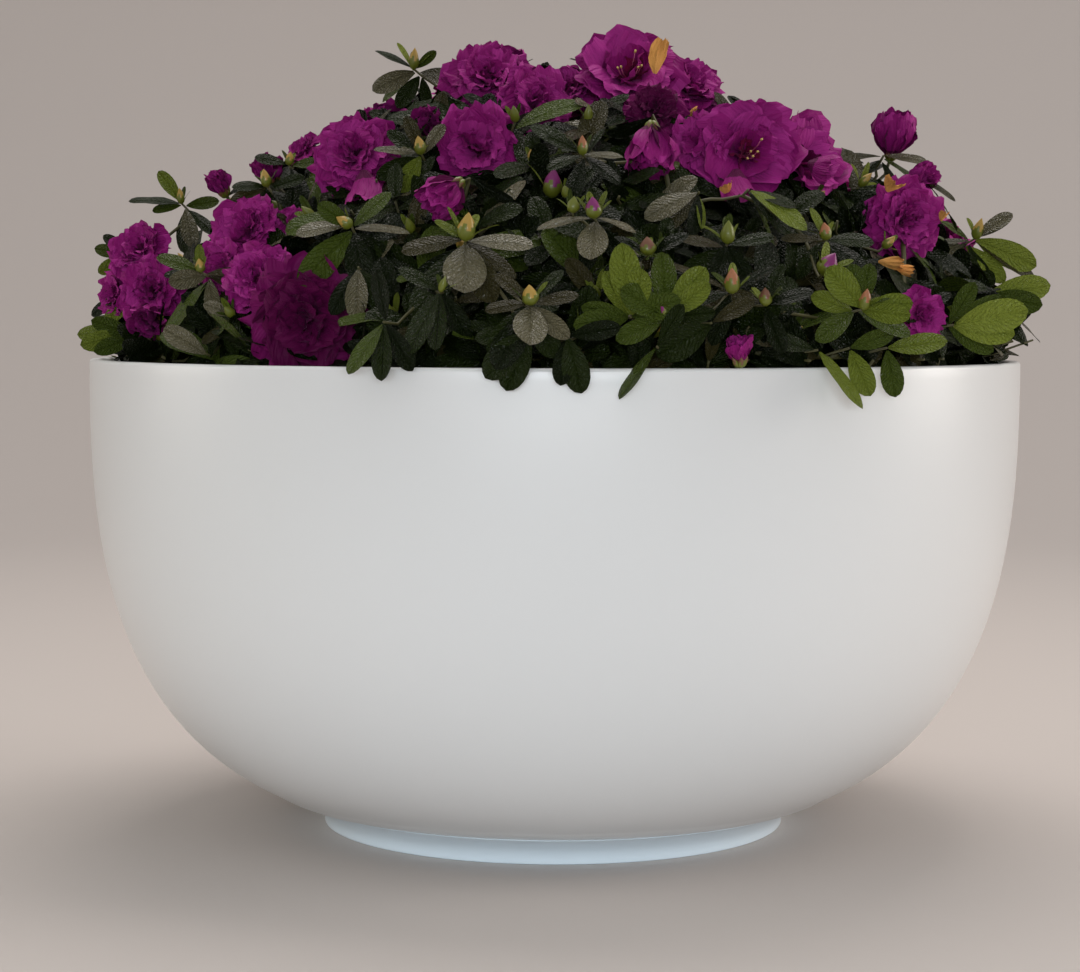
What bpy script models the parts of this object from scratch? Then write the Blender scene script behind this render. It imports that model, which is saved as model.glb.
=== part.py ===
"""An azalea shrub in full bloom, planted in a wide white bowl on a low foot.

Metres, +Z up. The origin is the middle of the foot's flat underside. Each sub-part is an
object of its own: the foot ring, the bowl, the soil, the short trunk, its boughs, and the
masses of foliage that together make the crown. Every mass keeps to its own upright space,
so no two of them meet.
"""

import math
import random

import bmesh
import bpy
from mathutils import Matrix, Vector
from mathutils.bvhtree import BVHTree

GAP = 0.0003  # clearance kept between neighbouring solids

# Bowl planter
BOWL_RADIUS = 0.305
BOWL_HEIGHT = 0.308
BOWL_POLE = 0.0013  # height at which the bowl's outer curve would close on its axis
BOWL_FULLNESS = 2.795  # how long the wall stays upright before it turns in
BOWL_ROUNDING = 3.273  # how sharply it turns in below
BOWL_WALL = 0.007
RIM_ROUND = 0.002
BOWL_SEGMENTS = 36
BOWL_RINGS = 7
RING_CROWDING = 1.7  # over 1 sets the rings closer towards the foot
FOOT_RADIUS = 0.153
FOOT_FLARE = 0.173  # the foot's radius where it meets the bowl
FOOT_HEIGHT = 0.0195
FOOT_RINGS = 3
FOOT_SPREAD = 2.6  # how late the foot's wall flares
BOWL_FLOOR = FOOT_HEIGHT + 0.008

# Soil
SOIL_TOP = BOWL_HEIGHT - 0.025
SOIL_CROWN = 0.004  # rise of the soil towards the trunk
SOIL_RINGS = 2

# Trunk and boughs
TRUNK_LEAN = Vector((0.006, -0.003))
TRUNK_HEIGHT = 0.036
TRUNK_RADIUS = 0.0125
TRUNK_TIP_RADIUS = 0.0095
ROOT_FLARE = 0.75  # extra radius at the soil, as a share of the trunk's
FLARE_FALL = 5  # how quickly the flare dies away up the trunk
ROOT_LOBES = 3
LOBE_DEPTH = 0.35
TRUNK_SIDES = 12
TRUNK_LEVELS = (0.0, 0.12, 0.3, 0.6, 1.0)
BOUGH_SIDES = 6
BOUGH_STEPS = 5
BOUGH_RADIUS = 0.0058
BOUGH_TIP_RADIUS = 0.0030
SIDE_BOUGH_RADIUS = 0.0042
MAIN_BOUGHS = 5
BOUGH_SHARE = 0.80  # of the way to its mass's hub, where a main bough ends
BRANCH_SHARE = 0.78  # the same for the boughs that leave a main one, and the leader
BOUGH_LIFT = 0.004  # of a main bough's tip over the straight line to the hub
BOUGH_CLIMB = (0.35, 0.10)  # rise of a main bough for each metre out, at its two ends
BRANCH_LEAN = 0.5  # how far a branching bough starts along its parent
BRANCH_CLIMB = 0.2
FIRST_FORK = 0.30  # share of the trunk's height at which the lowest main bough leaves
FORK_STEP = 0.12  # how much higher each next one leaves
FORK_MARGIN = 1.15  # height of the trunk kept clear of a bough's end, in its radii
SIDE_START = 0.42  # share of a main bough's length at which its side bough leaves
RISE_START = 0.24  # the same for the bough that climbs to an inner mass
WRIGGLE = 0.006  # how far a bough wanders from its smooth line

# Crown: a broad mound, lower at its edge than its middle
CROWN_MIDDLE = Vector((0.015, 0.0))
CROWN_HALF_WIDTH = 0.318
CROWN_HALF_DEPTH = 0.312
CROWN_EDGE = 0.318  # height of the mound's edge, just above the rim
CROWN_RISE = 0.192
CROWN_FALL = 2.15  # how the mound rounds off towards its edge

# Masses of foliage: one on top, an inner ring and an outer ring
TOP_PLACE = Vector((0.040, -0.012))
INNER_MASSES = 5
INNER_RADIUS = 0.135
INNER_START = math.radians(-131)
OUTER_MASSES = 9
OUTER_RADIUS = 0.250
OUTER_START = math.radians(-149)
SPACE_MARGIN = 0.0008
LIMB_MARGIN = 0.0006
HUB_SHARE = 0.55  # height of a mass's hub between the soil and the mound's surface
HUB_INWARD = 0.90  # its distance from the axis, as a share of the mass's own
HUB_OVER_RIM = 0.020
CORE_DEPTH = 0.036  # from the mound's surface down to the top of a mass's core
CORE_DROP = 0.014  # from a mass's hub down to the bottom of its core
CORE_OVER_RIM = 0.006
CORE_REACH = 0.058  # largest half width
CORE_FIT = 0.93  # of the half width that the mass's space leaves
CORE_LUMPS = 0.82  # the lowest point of a lump, as a share of the highest
CORE_STEP = 0.07  # how much smaller each further try is
STEM_RADIUS = 0.0030
TWIG_RADIUS = 0.0021
TWIG_TIP_RADIUS = 0.0015
TWIG_STEPS = 2
TIPS = 420  # places tried for a shoot over the whole crown
EVEN_STEPS = (0.7548776662, 0.5698402910)  # steps that spread points evenly over a square
SHORTEST_TWIG = 0.014
FORK_TRIES = 4
TIP_REACH = 0.94  # outermost shoots, as a share of the mound's half width
TIP_SPACING = 0.042
TIP_DEPTHS = (0.008, 0.030)  # how far under the mound's surface a shoot ends
OUTWARD_LEAN = 0.15  # how much a shoot leans out from square to the mound
TIP_LEAVE = 1.4  # how straight a twig sets off for its tip
BUD_SHARE = 0.35  # of the leafy shoots
FORK_THRIFT = 0.35  # how much a twig's length from the stem counts against a fork

# Leaves, blossom and buds
WHORL_LEAVES = 5
LEAF_LENGTH = 0.056
LEAF_WIDTH = 0.0245
LEAF_SIZES = (0.85, 1.14)
LEAF_THICKNESS = 0.0012
LEAF_WIDEST = 0.55  # along the leaf
LEAF_FOLD = 0.03  # how far the midrib lies under the edges, in lengths
LEAF_DROOP = 0.06  # the same for the tip
LEAF_SINK = 0.0007
LEAF_SPACING = 0.0038  # down the shoot from one leaf to the next
LEAF_TRIES = 10
LEAF_STEP = 0.03  # how much shorter each further try is
LEAF_TURN = 0.7  # radians that a leaf with no room is turned on by
LEAF_RISE = (8, 50)  # degrees above a right angle to the shoot, at least and at most
COLLAR_LEAVES = 2
BLOOM_COLLAR = 0.010  # from a bloom's seat down to its first leaf
BLOOM_ROOM = 0.62  # of its diameter, round a listed bloom, before the next shoot
BLOOM_MARGIN = 0.52  # of its diameter, from its middle to the edge of its mass's space
BLOOM_SEAT = 0.18  # depth of a shoot's end under its bloom's middle, in diameters
GOLDEN_ANGLE = math.pi * (3 - math.sqrt(5))
BLOOM_LOBES = 5
BLOOM_TIERS = ((1.0, 0.72, -0.02, 0), (0.60, 0.44, 0.36, 1))  # tips, notches, lift, turn
CALYX_DEPTH = 0.62  # under the bloom's middle, in its radii
HEART_LIFT = 0.16
BLOOM_DIAMETER = 0.056
BLOOM_SIZES = (0.8, 1.1)
BLOOM_SHARE = 0.30  # of the shoots that the list below leaves free
BLOOMS_FROM = -0.05  # the rule sets blooms behind this depth, and the list those before it
BUD_LENGTH = 0.013
BUD_WIDTH = 0.0075
BUD_SEAT = 0.3  # how far it reaches back over its twig, in its lengths
BUD_WIDEST = 0.35

# The largest blooms, by place (x, y, z) and diameter: a crest of them along the top, then
# a loose scatter down the front and over both shoulders.
SHOW_TILT = Vector((0, -0.35, 0))  # how they turn towards the front
SHOW_BLOOMS = (
    ((0.047, -0.070, 0.499), 0.066),
    ((0.013, -0.100, 0.480), 0.046),
    ((0.088, -0.068, 0.486), 0.052),
    ((-0.045, -0.085, 0.490), 0.058),
    ((-0.054, -0.150, 0.447), 0.060),
    ((-0.014, -0.128, 0.470), 0.048),
    ((-0.126, -0.140, 0.434), 0.056),
    ((0.052, -0.196, 0.432), 0.036),
    ((0.109, -0.178, 0.435), 0.066),
    ((0.160, -0.142, 0.436), 0.050),
    ((0.208, -0.085, 0.452), 0.036),
    ((0.204, -0.160, 0.396), 0.050),
    ((-0.186, -0.150, 0.391), 0.060),
    ((-0.147, -0.248, 0.342), 0.068),
    ((-0.262, -0.085, 0.381), 0.050),
    ((-0.248, -0.124, 0.349), 0.046),
    ((-0.217, -0.070, 0.424), 0.030),
    ((0.208, -0.222, 0.347), 0.034),
    ((-0.060, -0.222, 0.404), 0.030),
)

# Leafy sprigs that stand out of the mound, by place and the way they point
SHOW_SPRIGS = (
    ((0.284, -0.030, 0.384), (0.75, -0.30, 0.45)),
    ((0.292, -0.070, 0.352), (0.90, -0.40, 0.10)),
    ((-0.093, -0.030, 0.480), (-0.25, -0.20, 0.95)),
    ((-0.252, 0.010, 0.417), (-0.40, -0.20, 0.90)),
    ((-0.290, -0.030, 0.352), (-0.95, -0.20, 0.15)),
    ((-0.282, -0.110, 0.330), (-0.90, -0.40, -0.05)),
    ((0.055, -0.300, 0.322), (-0.20, -0.95, -0.25)),
    ((0.215, -0.222, 0.322), (0.45, -0.85, -0.20)),
    ((-0.035, -0.300, 0.330), (0.05, -0.95, -0.20)),
)

WHITE = (0.78, 0.77, 0.75)
WHITE_FOOT = (0.66, 0.70, 0.73)
EARTH = (0.035, 0.026, 0.019)
BARK = (0.20, 0.145, 0.10)
CORE_GREEN = (0.022, 0.032, 0.012)
LEAF_GREEN = (0.055, 0.085, 0.022)
BUD_GREEN = (0.30, 0.32, 0.05)
PETAL = (0.20, 0.012, 0.115)


def clear_scene():
    for obj in list(bpy.data.objects):
        bpy.data.objects.remove(obj, do_unlink=True)


def material(name, color, roughness, metallic=0.0):
    made = bpy.data.materials.new(name)
    made.use_nodes = True
    shader = made.node_tree.nodes["Principled BSDF"]
    shader.inputs["Base Color"].default_value = (*color, 1)
    shader.inputs["Roughness"].default_value = roughness
    shader.inputs["Metallic"].default_value = metallic
    made.diffuse_color = (*color, 1)
    return made


def object_of(bm, name, surface, collection=None):
    """An object that holds this bmesh, with its faces turned outwards."""
    bmesh.ops.recalc_face_normals(bm, faces=bm.faces)
    mesh = bpy.data.meshes.new(name)
    bm.to_mesh(mesh)
    bm.free()
    mesh.materials.append(surface)
    made = bpy.data.objects.new(name, mesh)
    (collection or bpy.context.scene.collection).objects.link(made)
    return made


# --- Bowl, foot and soil -----------------------------------------------------------------


def bowl_outer_radius(z):
    """The bowl's outer radius at this height: upright at the rim, turning in below."""
    depth = (BOWL_HEIGHT - z) / (BOWL_HEIGHT - BOWL_POLE)
    return BOWL_RADIUS * (1 - depth**BOWL_FULLNESS) ** (1 / BOWL_ROUNDING)


def bowl_outer_line(low, rings):
    """Points (r, z) of the outer curve from this height up to the rim's rounding."""
    high = BOWL_HEIGHT - RIM_ROUND
    heights = [low + (high - low) * (k / rings) ** RING_CROWDING for k in range(rings + 1)]
    return [(bowl_outer_radius(z), z) for z in heights]


def inset_line(line, wall):
    """The same line moved inwards, square to itself, by the wall's thickness."""
    moved = []
    for k, (r, z) in enumerate(line):
        r0, z0 = line[max(k - 1, 0)]
        r1, z1 = line[min(k + 1, len(line) - 1)]
        along = Vector((r1 - r0, z1 - z0)).normalized()
        moved.append((r - along.y * wall, z + along.x * wall))
    return moved


def turned(name, profile, surface, segments=BOWL_SEGMENTS):
    """A solid turned about Z from a profile (r, z) that starts and ends on the axis."""
    bm = bmesh.new()
    points = [bm.verts.new((r, 0, z)) for r, z in profile]
    edges = [bm.edges.new(pair) for pair in zip(points, points[1:])]
    bmesh.ops.spin(
        bm,
        geom=points + edges,
        cent=(0, 0, 0),
        axis=(0, 0, 1),
        angle=math.tau,
        steps=segments,
        use_merge=True,
        use_duplicate=False,
    )
    bmesh.ops.remove_doubles(bm, verts=bm.verts, dist=1e-6)
    made = object_of(bm, name, surface)
    made.data.shade_smooth()
    made.data.set_sharp_from_angle(angle=math.radians(35))
    return made


def foot_line():
    """The foot's outer wall: upright at the floor, flaring up to meet the bowl."""
    shares = [k / FOOT_RINGS for k in range(FOOT_RINGS + 1)]
    flare = FOOT_FLARE - FOOT_RADIUS
    return [(FOOT_RADIUS + flare * s**FOOT_SPREAD, FOOT_HEIGHT * s) for s in shares]


def make_foot(surface):
    profile = [(0, 0), *foot_line(), (0, FOOT_HEIGHT)]
    return turned("foot_ring", profile, surface)


def make_bowl(surface):
    low = FOOT_HEIGHT + GAP
    outer = bowl_outer_line(low, BOWL_RINGS)
    inner = [p for p in inset_line(outer, BOWL_WALL) if p[1] > BOWL_FLOOR]
    rim = [
        (BOWL_RADIUS - RIM_ROUND * 0.5, BOWL_HEIGHT),
        (BOWL_RADIUS - BOWL_WALL + RIM_ROUND * 0.5, BOWL_HEIGHT),
    ]
    floor = [(inner[0][0] * 0.93, BOWL_FLOOR), (0, BOWL_FLOOR)]
    profile = [(0, low), *outer, *rim, *reversed(inner), *floor]
    return turned("bowl", profile, surface)


def make_soil(surface):
    """The soil fills the bowl up to a little below its rim."""
    outer = bowl_outer_line(FOOT_HEIGHT + GAP, BOWL_RINGS)
    wall = inset_line(outer, BOWL_WALL + 2 * GAP)
    side = [p for p in wall if BOWL_FLOOR + 2 * GAP < p[1] < SOIL_TOP - 0.01][::2]
    edge = bowl_outer_radius(SOIL_TOP) - BOWL_WALL - 4 * GAP
    shares = [1 - k / SOIL_RINGS for k in range(SOIL_RINGS)]
    top = [(edge * s, SOIL_TOP + SOIL_CROWN * (1 - s * s)) for s in shares]
    low = BOWL_FLOOR + GAP
    profile = [(0, low), (side[0][0] * 0.9, low), *side, *top, (0, SOIL_TOP + SOIL_CROWN)]
    return turned("soil", profile, surface)


# --- Limbs -------------------------------------------------------------------------------


def bent_line(start, leave, end, arrive, steps, wander=0.0, rng=None):
    """A smooth line that leaves one way and arrives another, with a slight wander."""
    reach = (end - start).length
    a, b = leave.normalized() * reach, arrive.normalized() * reach
    line = []
    for k in range(steps + 1):
        t = k / steps
        point = (
            start * (2 * t**3 - 3 * t**2 + 1)
            + a * (t**3 - 2 * t**2 + t)
            + end * (3 * t**2 - 2 * t**3)
            + b * (t**3 - t**2)
        )
        if rng and 0 < k < steps:
            point += Vector([rng.uniform(-wander, wander) for _ in range(3)])
        line.append(point)
    return line


def tube(bm, line, radii, sides, first_normal=None):
    """A closed tapering tube along the line, added to the bmesh."""
    tangents = []
    for k in range(len(line)):
        ahead = line[min(k + 1, len(line) - 1)] - line[max(k - 1, 0)]
        tangents.append(ahead.normalized())
    if first_normal:
        tangents[0] = first_normal.normalized()
    across = tangents[0].orthogonal().normalized()
    rings = []
    for point, along, radius in zip(line, tangents, radii):
        across = (across - along * across.dot(along)).normalized()
        other = along.cross(across)
        ring = []
        for k in range(sides):
            angle = math.tau * k / sides
            spoke = across * math.cos(angle) + other * math.sin(angle)
            ring.append(bm.verts.new(point + spoke * radius))
        rings.append(ring)
    for low, high in zip(rings, rings[1:]):
        for k in range(sides):
            j = (k + 1) % sides
            bm.faces.new((low[k], low[j], high[j], high[k]))
    bm.faces.new(list(reversed(rings[0])))
    bm.faces.new(rings[-1])


def taper(thick, thin, count):
    return [thick + (thin - thick) * k / (count - 1) for k in range(count)]


def trunk_radius(share, angle):
    """The trunk's radius at this share of its height, with the lobes of its root flare."""
    flare = ROOT_FLARE * (1 - share) ** FLARE_FALL
    lobe = 1 + flare * (1 + LOBE_DEPTH * math.cos(ROOT_LOBES * angle))
    return (TRUNK_RADIUS + (TRUNK_TIP_RADIUS - TRUNK_RADIUS) * share) * lobe


def trunk_middle(share):
    """The middle of the trunk at this share of its height."""
    lean = TRUNK_LEAN * share
    return Vector((lean.x, lean.y, SOIL_TOP + SOIL_CROWN + GAP + TRUNK_HEIGHT * share))


def trunk_reach(share, out):
    """How far the trunk stands out this way behind the whole end of a bough."""
    middle = trunk_middle(share)
    angle = math.atan2(out.y, out.x)
    spread = FORK_MARGIN * BOUGH_RADIUS / TRUNK_HEIGHT
    shares = (share - spread, share, share + spread)
    return max(
        (trunk_middle(s) - middle).dot(out) + trunk_radius(s, angle) for s in shares
    )


def make_trunk(surface):
    """The short stem, flat on the soil, its root flare lobed, narrowing to the fork."""
    bm = bmesh.new()
    rings = []
    for share in TRUNK_LEVELS:
        ring = []
        for k in range(TRUNK_SIDES):
            angle = math.tau * k / TRUNK_SIDES
            spoke = Vector((math.cos(angle), math.sin(angle), 0))
            point = trunk_middle(share) + spoke * trunk_radius(share, angle)
            ring.append(bm.verts.new(point))
        rings.append(ring)
    for low, high in zip(rings, rings[1:]):
        for k in range(TRUNK_SIDES):
            j = (k + 1) % TRUNK_SIDES
            bm.faces.new((low[k], low[j], high[j], high[k]))
    bm.faces.new(list(reversed(rings[0])))
    bm.faces.new(rings[-1])
    return object_of(bm, "trunk", surface)


class Limb:
    """A bough: its line, its radii and its solid."""

    def __init__(self, name, line, radii, first_normal, surface):
        self.line = line
        self.radii = radii
        bm = bmesh.new()
        tube(bm, line, radii, BOUGH_SIDES, first_normal)
        self.obj = object_of(bm, name, surface)
        self.obj.data.shade_smooth()

    def at(self, share):
        """Point, direction and radius at this share of the limb's length."""
        place = share * (len(self.line) - 1)
        k = min(int(place), len(self.line) - 2)
        part = place - k
        point = self.line[k].lerp(self.line[k + 1], part)
        along = (self.line[k + 1] - self.line[k]).normalized()
        return point, along, self.radii[k] + (self.radii[k + 1] - self.radii[k]) * part

    def tip(self):
        along = (self.line[-1] - self.line[-2]).normalized()
        return self.line[-1], along


def crown_height(x, y):
    """Height of the mound's surface over this point."""
    across = (x - CROWN_MIDDLE.x) / CROWN_HALF_WIDTH
    deep = (y - CROWN_MIDDLE.y) / CROWN_HALF_DEPTH
    out = math.hypot(across, deep)
    return CROWN_EDGE + CROWN_RISE * (1 - out**CROWN_FALL)


def crown_normal(x, y):
    step = 0.01
    slope_x = (crown_height(x + step, y) - crown_height(x - step, y)) / (2 * step)
    slope_y = (crown_height(x, y + step) - crown_height(x, y - step)) / (2 * step)
    return Vector((-slope_x, -slope_y, 1)).normalized()


def mass_places():
    """Each mass's name and its middle in plan."""
    places = {"foliage_top": TOP_PLACE}
    for k in range(INNER_MASSES):
        angle = INNER_START + math.tau * k / INNER_MASSES
        spot = CROWN_MIDDLE + Vector((math.cos(angle), math.sin(angle))) * INNER_RADIUS
        places[f"foliage_inner_{k + 1}"] = spot
    for k in range(OUTER_MASSES):
        angle = OUTER_START + math.tau * k / OUTER_MASSES
        spot = Vector((math.cos(angle), math.sin(angle))) * OUTER_RADIUS
        places[f"foliage_outer_{k + 1}"] = spot
    return places


def hub_of(spot):
    """The middle of a mass, where its stem ends: inside the mound and over the rim."""
    inward = spot * HUB_INWARD
    top = crown_height(inward.x, inward.y)
    height = SOIL_TOP + (top - SOIL_TOP) * HUB_SHARE
    return Vector((inward.x, inward.y, max(height, BOWL_HEIGHT + HUB_OVER_RIM)))


def make_boughs(places, surface):
    """Every bough by the name of the mass that it carries.

    Main boughs run out to every other outer mass. From each, a side bough goes on to the
    next outer mass, and a climbing bough to an inner one. The leader goes to the top mass.
    """
    rng = random.Random(5)
    boughs = {}
    mains = [(2 * k) % OUTER_MASSES for k in range(MAIN_BOUGHS)]
    sides = {mains[k]: 2 * k + 1 for k in range(OUTER_MASSES - MAIN_BOUGHS)}
    for order, k in enumerate(mains):
        mass = f"foliage_outer_{k + 1}"
        hub = hub_of(places[mass])
        out = Vector((hub.x, hub.y, 0)).normalized()
        share = FIRST_FORK + FORK_STEP * order
        start = trunk_middle(share) + out * (trunk_reach(share, out) + GAP)
        end = start.lerp(hub, BOUGH_SHARE) + Vector((0, 0, BOUGH_LIFT))
        line = bent_line(
            start, out + Vector((0, 0, BOUGH_CLIMB[0])),
            end, out + Vector((0, 0, BOUGH_CLIMB[1])),
            BOUGH_STEPS, WRIGGLE, rng,
        )
        radii = taper(BOUGH_RADIUS, BOUGH_TIP_RADIUS, BOUGH_STEPS + 1)
        main = Limb(f"bough_{order + 1}", line, radii, out, surface)
        boughs[mass] = main
        if k in sides:
            target = f"foliage_outer_{sides[k] + 1}"
            name = f"side_bough_{order + 1}"
            boughs[target] = branch(main, SIDE_START, hub_of(places[target]), name, rng, surface)
        target = f"foliage_inner_{nearest_inner(places, hub, boughs)}"
        name = f"climbing_bough_{order + 1}"
        boughs[target] = branch(main, RISE_START, hub_of(places[target]), name, rng, surface)
    boughs["foliage_top"] = make_leader(hub_of(places["foliage_top"]), rng, surface)
    return boughs


def nearest_inner(places, hub, boughs):
    """The number of the inner mass nearest to this hub that no bough carries yet."""
    free = [
        k + 1 for k in range(INNER_MASSES) if f"foliage_inner_{k + 1}" not in boughs
    ]
    return min(free, key=lambda k: (places[f"foliage_inner_{k}"] - hub.xy).length)


def branch(parent, share, hub, name, rng, surface):
    """A bough that leaves its parent's side and ends short of the mass it carries."""
    joint, along, thick = parent.at(share)
    towards = hub - joint
    out = (towards - along * towards.dot(along)).normalized()
    start = joint + out * (thick + GAP)
    end = start.lerp(hub, BRANCH_SHARE)
    line = bent_line(
        start, out + along * BRANCH_LEAN,
        end, (hub - start).normalized() + Vector((0, 0, BRANCH_CLIMB)),
        BOUGH_STEPS, WRIGGLE / 2, rng,
    )
    radii = taper(min(SIDE_BOUGH_RADIUS, thick * 0.9), BOUGH_TIP_RADIUS, BOUGH_STEPS + 1)
    return Limb(name, line, radii, out, surface)


def make_leader(hub, rng, surface):
    start = trunk_middle(1.0) + Vector((0, 0, GAP))
    end = start.lerp(hub, BRANCH_SHARE)
    up = Vector((0, 0, 1))
    line = bent_line(start, up, end, up, BOUGH_STEPS, WRIGGLE, rng)
    radii = taper(BOUGH_RADIUS, BOUGH_TIP_RADIUS, BOUGH_STEPS + 1)
    return Limb("leader", line, radii, up, surface)


# --- Spaces and obstacles ----------------------------------------------------------------


class Space:
    """The upright space of one mass: everything nearer to its middle than to another's."""

    def __init__(self, spot, others):
        self.walls = []
        for other in others:
            apart = other - spot
            middle = (spot + other) / 2
            self.walls.append((middle, apart.normalized()))

    def depth(self, point):
        """How far inside the space a point lies; negative outside."""
        return min((middle - point.xy).dot(out) for middle, out in self.walls)

    def holds(self, points):
        return all(self.depth(p) > SPACE_MARGIN for p in points)

    def nudged(self, point, radius):
        """The point moved inwards until a ball of this radius fits in the space."""
        moved = point.copy()
        for _ in range(12):
            for middle, out in self.walls:
                short = radius + SPACE_MARGIN - (middle - moved.xy).dot(out)
                if short > 0:
                    moved.x -= out.x * short
                    moved.y -= out.y * short
        return moved


def tree_of(bm):
    bmesh.ops.triangulate(bm, faces=bm.faces)
    tree = BVHTree.FromBMesh(bm)
    bm.free()
    return tree


def obstacles(boughs):
    """Slightly swollen copies of the limbs, the trunk, the rim and the soil."""
    bm = bmesh.new()
    for limb in boughs.values():
        line = list(limb.line)
        line[-1] = line[-1] - limb.tip()[1] * LIMB_MARGIN * 2
        tube(bm, line, [r / math.cos(math.pi / 6) + LIMB_MARGIN for r in limb.radii], 6)
    thick = TRUNK_RADIUS * (1 + ROOT_FLARE)
    tube(bm, [trunk_middle(0.0), trunk_middle(1.0)], [thick, TRUNK_RADIUS], 8)
    swell = 2 * LIMB_MARGIN
    for radius, floor, top in (
        (BOWL_RADIUS + swell, SOIL_TOP - 0.12, BOWL_HEIGHT + swell),
        (BOWL_RADIUS - BOWL_WALL - swell, SOIL_TOP - 0.12, BOWL_HEIGHT + swell),
        (BOWL_RADIUS - BOWL_WALL * 0.5, BOWL_HEIGHT + swell, BOWL_HEIGHT + 2 * swell),
        (BOWL_RADIUS - BOWL_WALL, SOIL_TOP - 0.02, SOIL_TOP + SOIL_CROWN + swell),
    ):
        bmesh.ops.create_cone(
            bm, cap_ends=True, segments=64, radius1=radius, radius2=radius,
            depth=top - floor, matrix=Matrix.Translation((0, 0, (top + floor) / 2)),
        )
    return tree_of(bm)


# --- Twigs, leaves, blossom and buds -----------------------------------------------------


def leaf(root, along, face, length, width):
    """A pointed blade of eight faces, widest beyond its middle."""
    bm = bmesh.new()
    along = along.normalized()
    side = along.cross(face).normalized()
    face = side.cross(along).normalized()
    widest = root + along * length * LEAF_WIDEST + face * length * LEAF_FOLD
    half = LEAF_THICKNESS / 2
    tip = bm.verts.new(root + along * length - face * length * LEAF_DROOP)
    foot = bm.verts.new(root)
    left = bm.verts.new(widest + side * width / 2)
    right = bm.verts.new(widest - side * width / 2)
    upper = bm.verts.new(widest + face * (half - length * LEAF_FOLD))
    lower = bm.verts.new(widest - face * (half + length * LEAF_FOLD))
    ring = (foot, left, tip, right)
    for k in range(4):
        bm.faces.new((ring[k], ring[(k + 1) % 4], upper))
        bm.faces.new((ring[(k + 1) % 4], ring[k], lower))
    return bm


def bloom(middle, facing, diameter):
    """A double bloom: two lobed tiers of petals, the upper one smaller, over a calyx."""
    bm = bmesh.new()
    facing = facing.normalized()
    across = facing.orthogonal().normalized()
    other = facing.cross(across)
    radius = diameter / 2
    spokes = 2 * BLOOM_LOBES

    def tier(reach, notch, lift, turn):
        ring = []
        for k in range(spokes):
            angle = math.tau * (k + turn) / spokes
            out = radius * (reach if k % 2 == 0 else notch)
            spoke = across * math.cos(angle) + other * math.sin(angle)
            ring.append(bm.verts.new(middle + spoke * out + facing * radius * lift))
        return ring

    rings = [tier(*measures) for measures in BLOOM_TIERS]
    calyx = bm.verts.new(middle - facing * radius * CALYX_DEPTH)
    heart = bm.verts.new(middle + facing * radius * HEART_LIFT)
    for low, high in zip(rings, rings[1:]):
        for k in range(spokes):
            j = (k + 1) % spokes
            bm.faces.new((low[k], low[j], high[j]))
            bm.faces.new((low[k], high[j], high[k]))
    for k in range(spokes):
        j = (k + 1) % spokes
        bm.faces.new((rings[0][j], rings[0][k], calyx))
        bm.faces.new((rings[-1][k], rings[-1][j], heart))
    return bm


def bud(root, along):
    """A pointed bud of eight faces."""
    bm = bmesh.new()
    along = along.normalized()
    across = along.orthogonal().normalized()
    other = along.cross(across)
    low = bm.verts.new(root - along * BUD_LENGTH * BUD_SEAT)
    high = bm.verts.new(root + along * BUD_LENGTH)
    middle = root + along * BUD_LENGTH * BUD_WIDEST
    ring = []
    for k in range(4):
        spoke = (across, other, -across, -other)[k]
        ring.append(bm.verts.new(middle + spoke * BUD_WIDTH / 2))
    for k in range(4):
        j = (k + 1) % 4
        bm.faces.new((ring[k], ring[j], high))
        bm.faces.new((ring[j], ring[k], low))
    return bm


def back_along(line, distance):
    """The point this far back from a line's end, and the line's direction there."""
    for k in range(len(line) - 1, 0, -1):
        step = line[k] - line[k - 1]
        if distance <= step.length or k == 1:
            return line[k] - step.normalized() * distance, step.normalized()
        distance -= step.length


class Shoot:
    """The end of a twig: its line, its solid, and the bloom on it if it has one."""

    def __init__(self, line, twig):
        self.line = line
        self.twig = twig
        self.blooms = None
        self.bud = None


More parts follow.
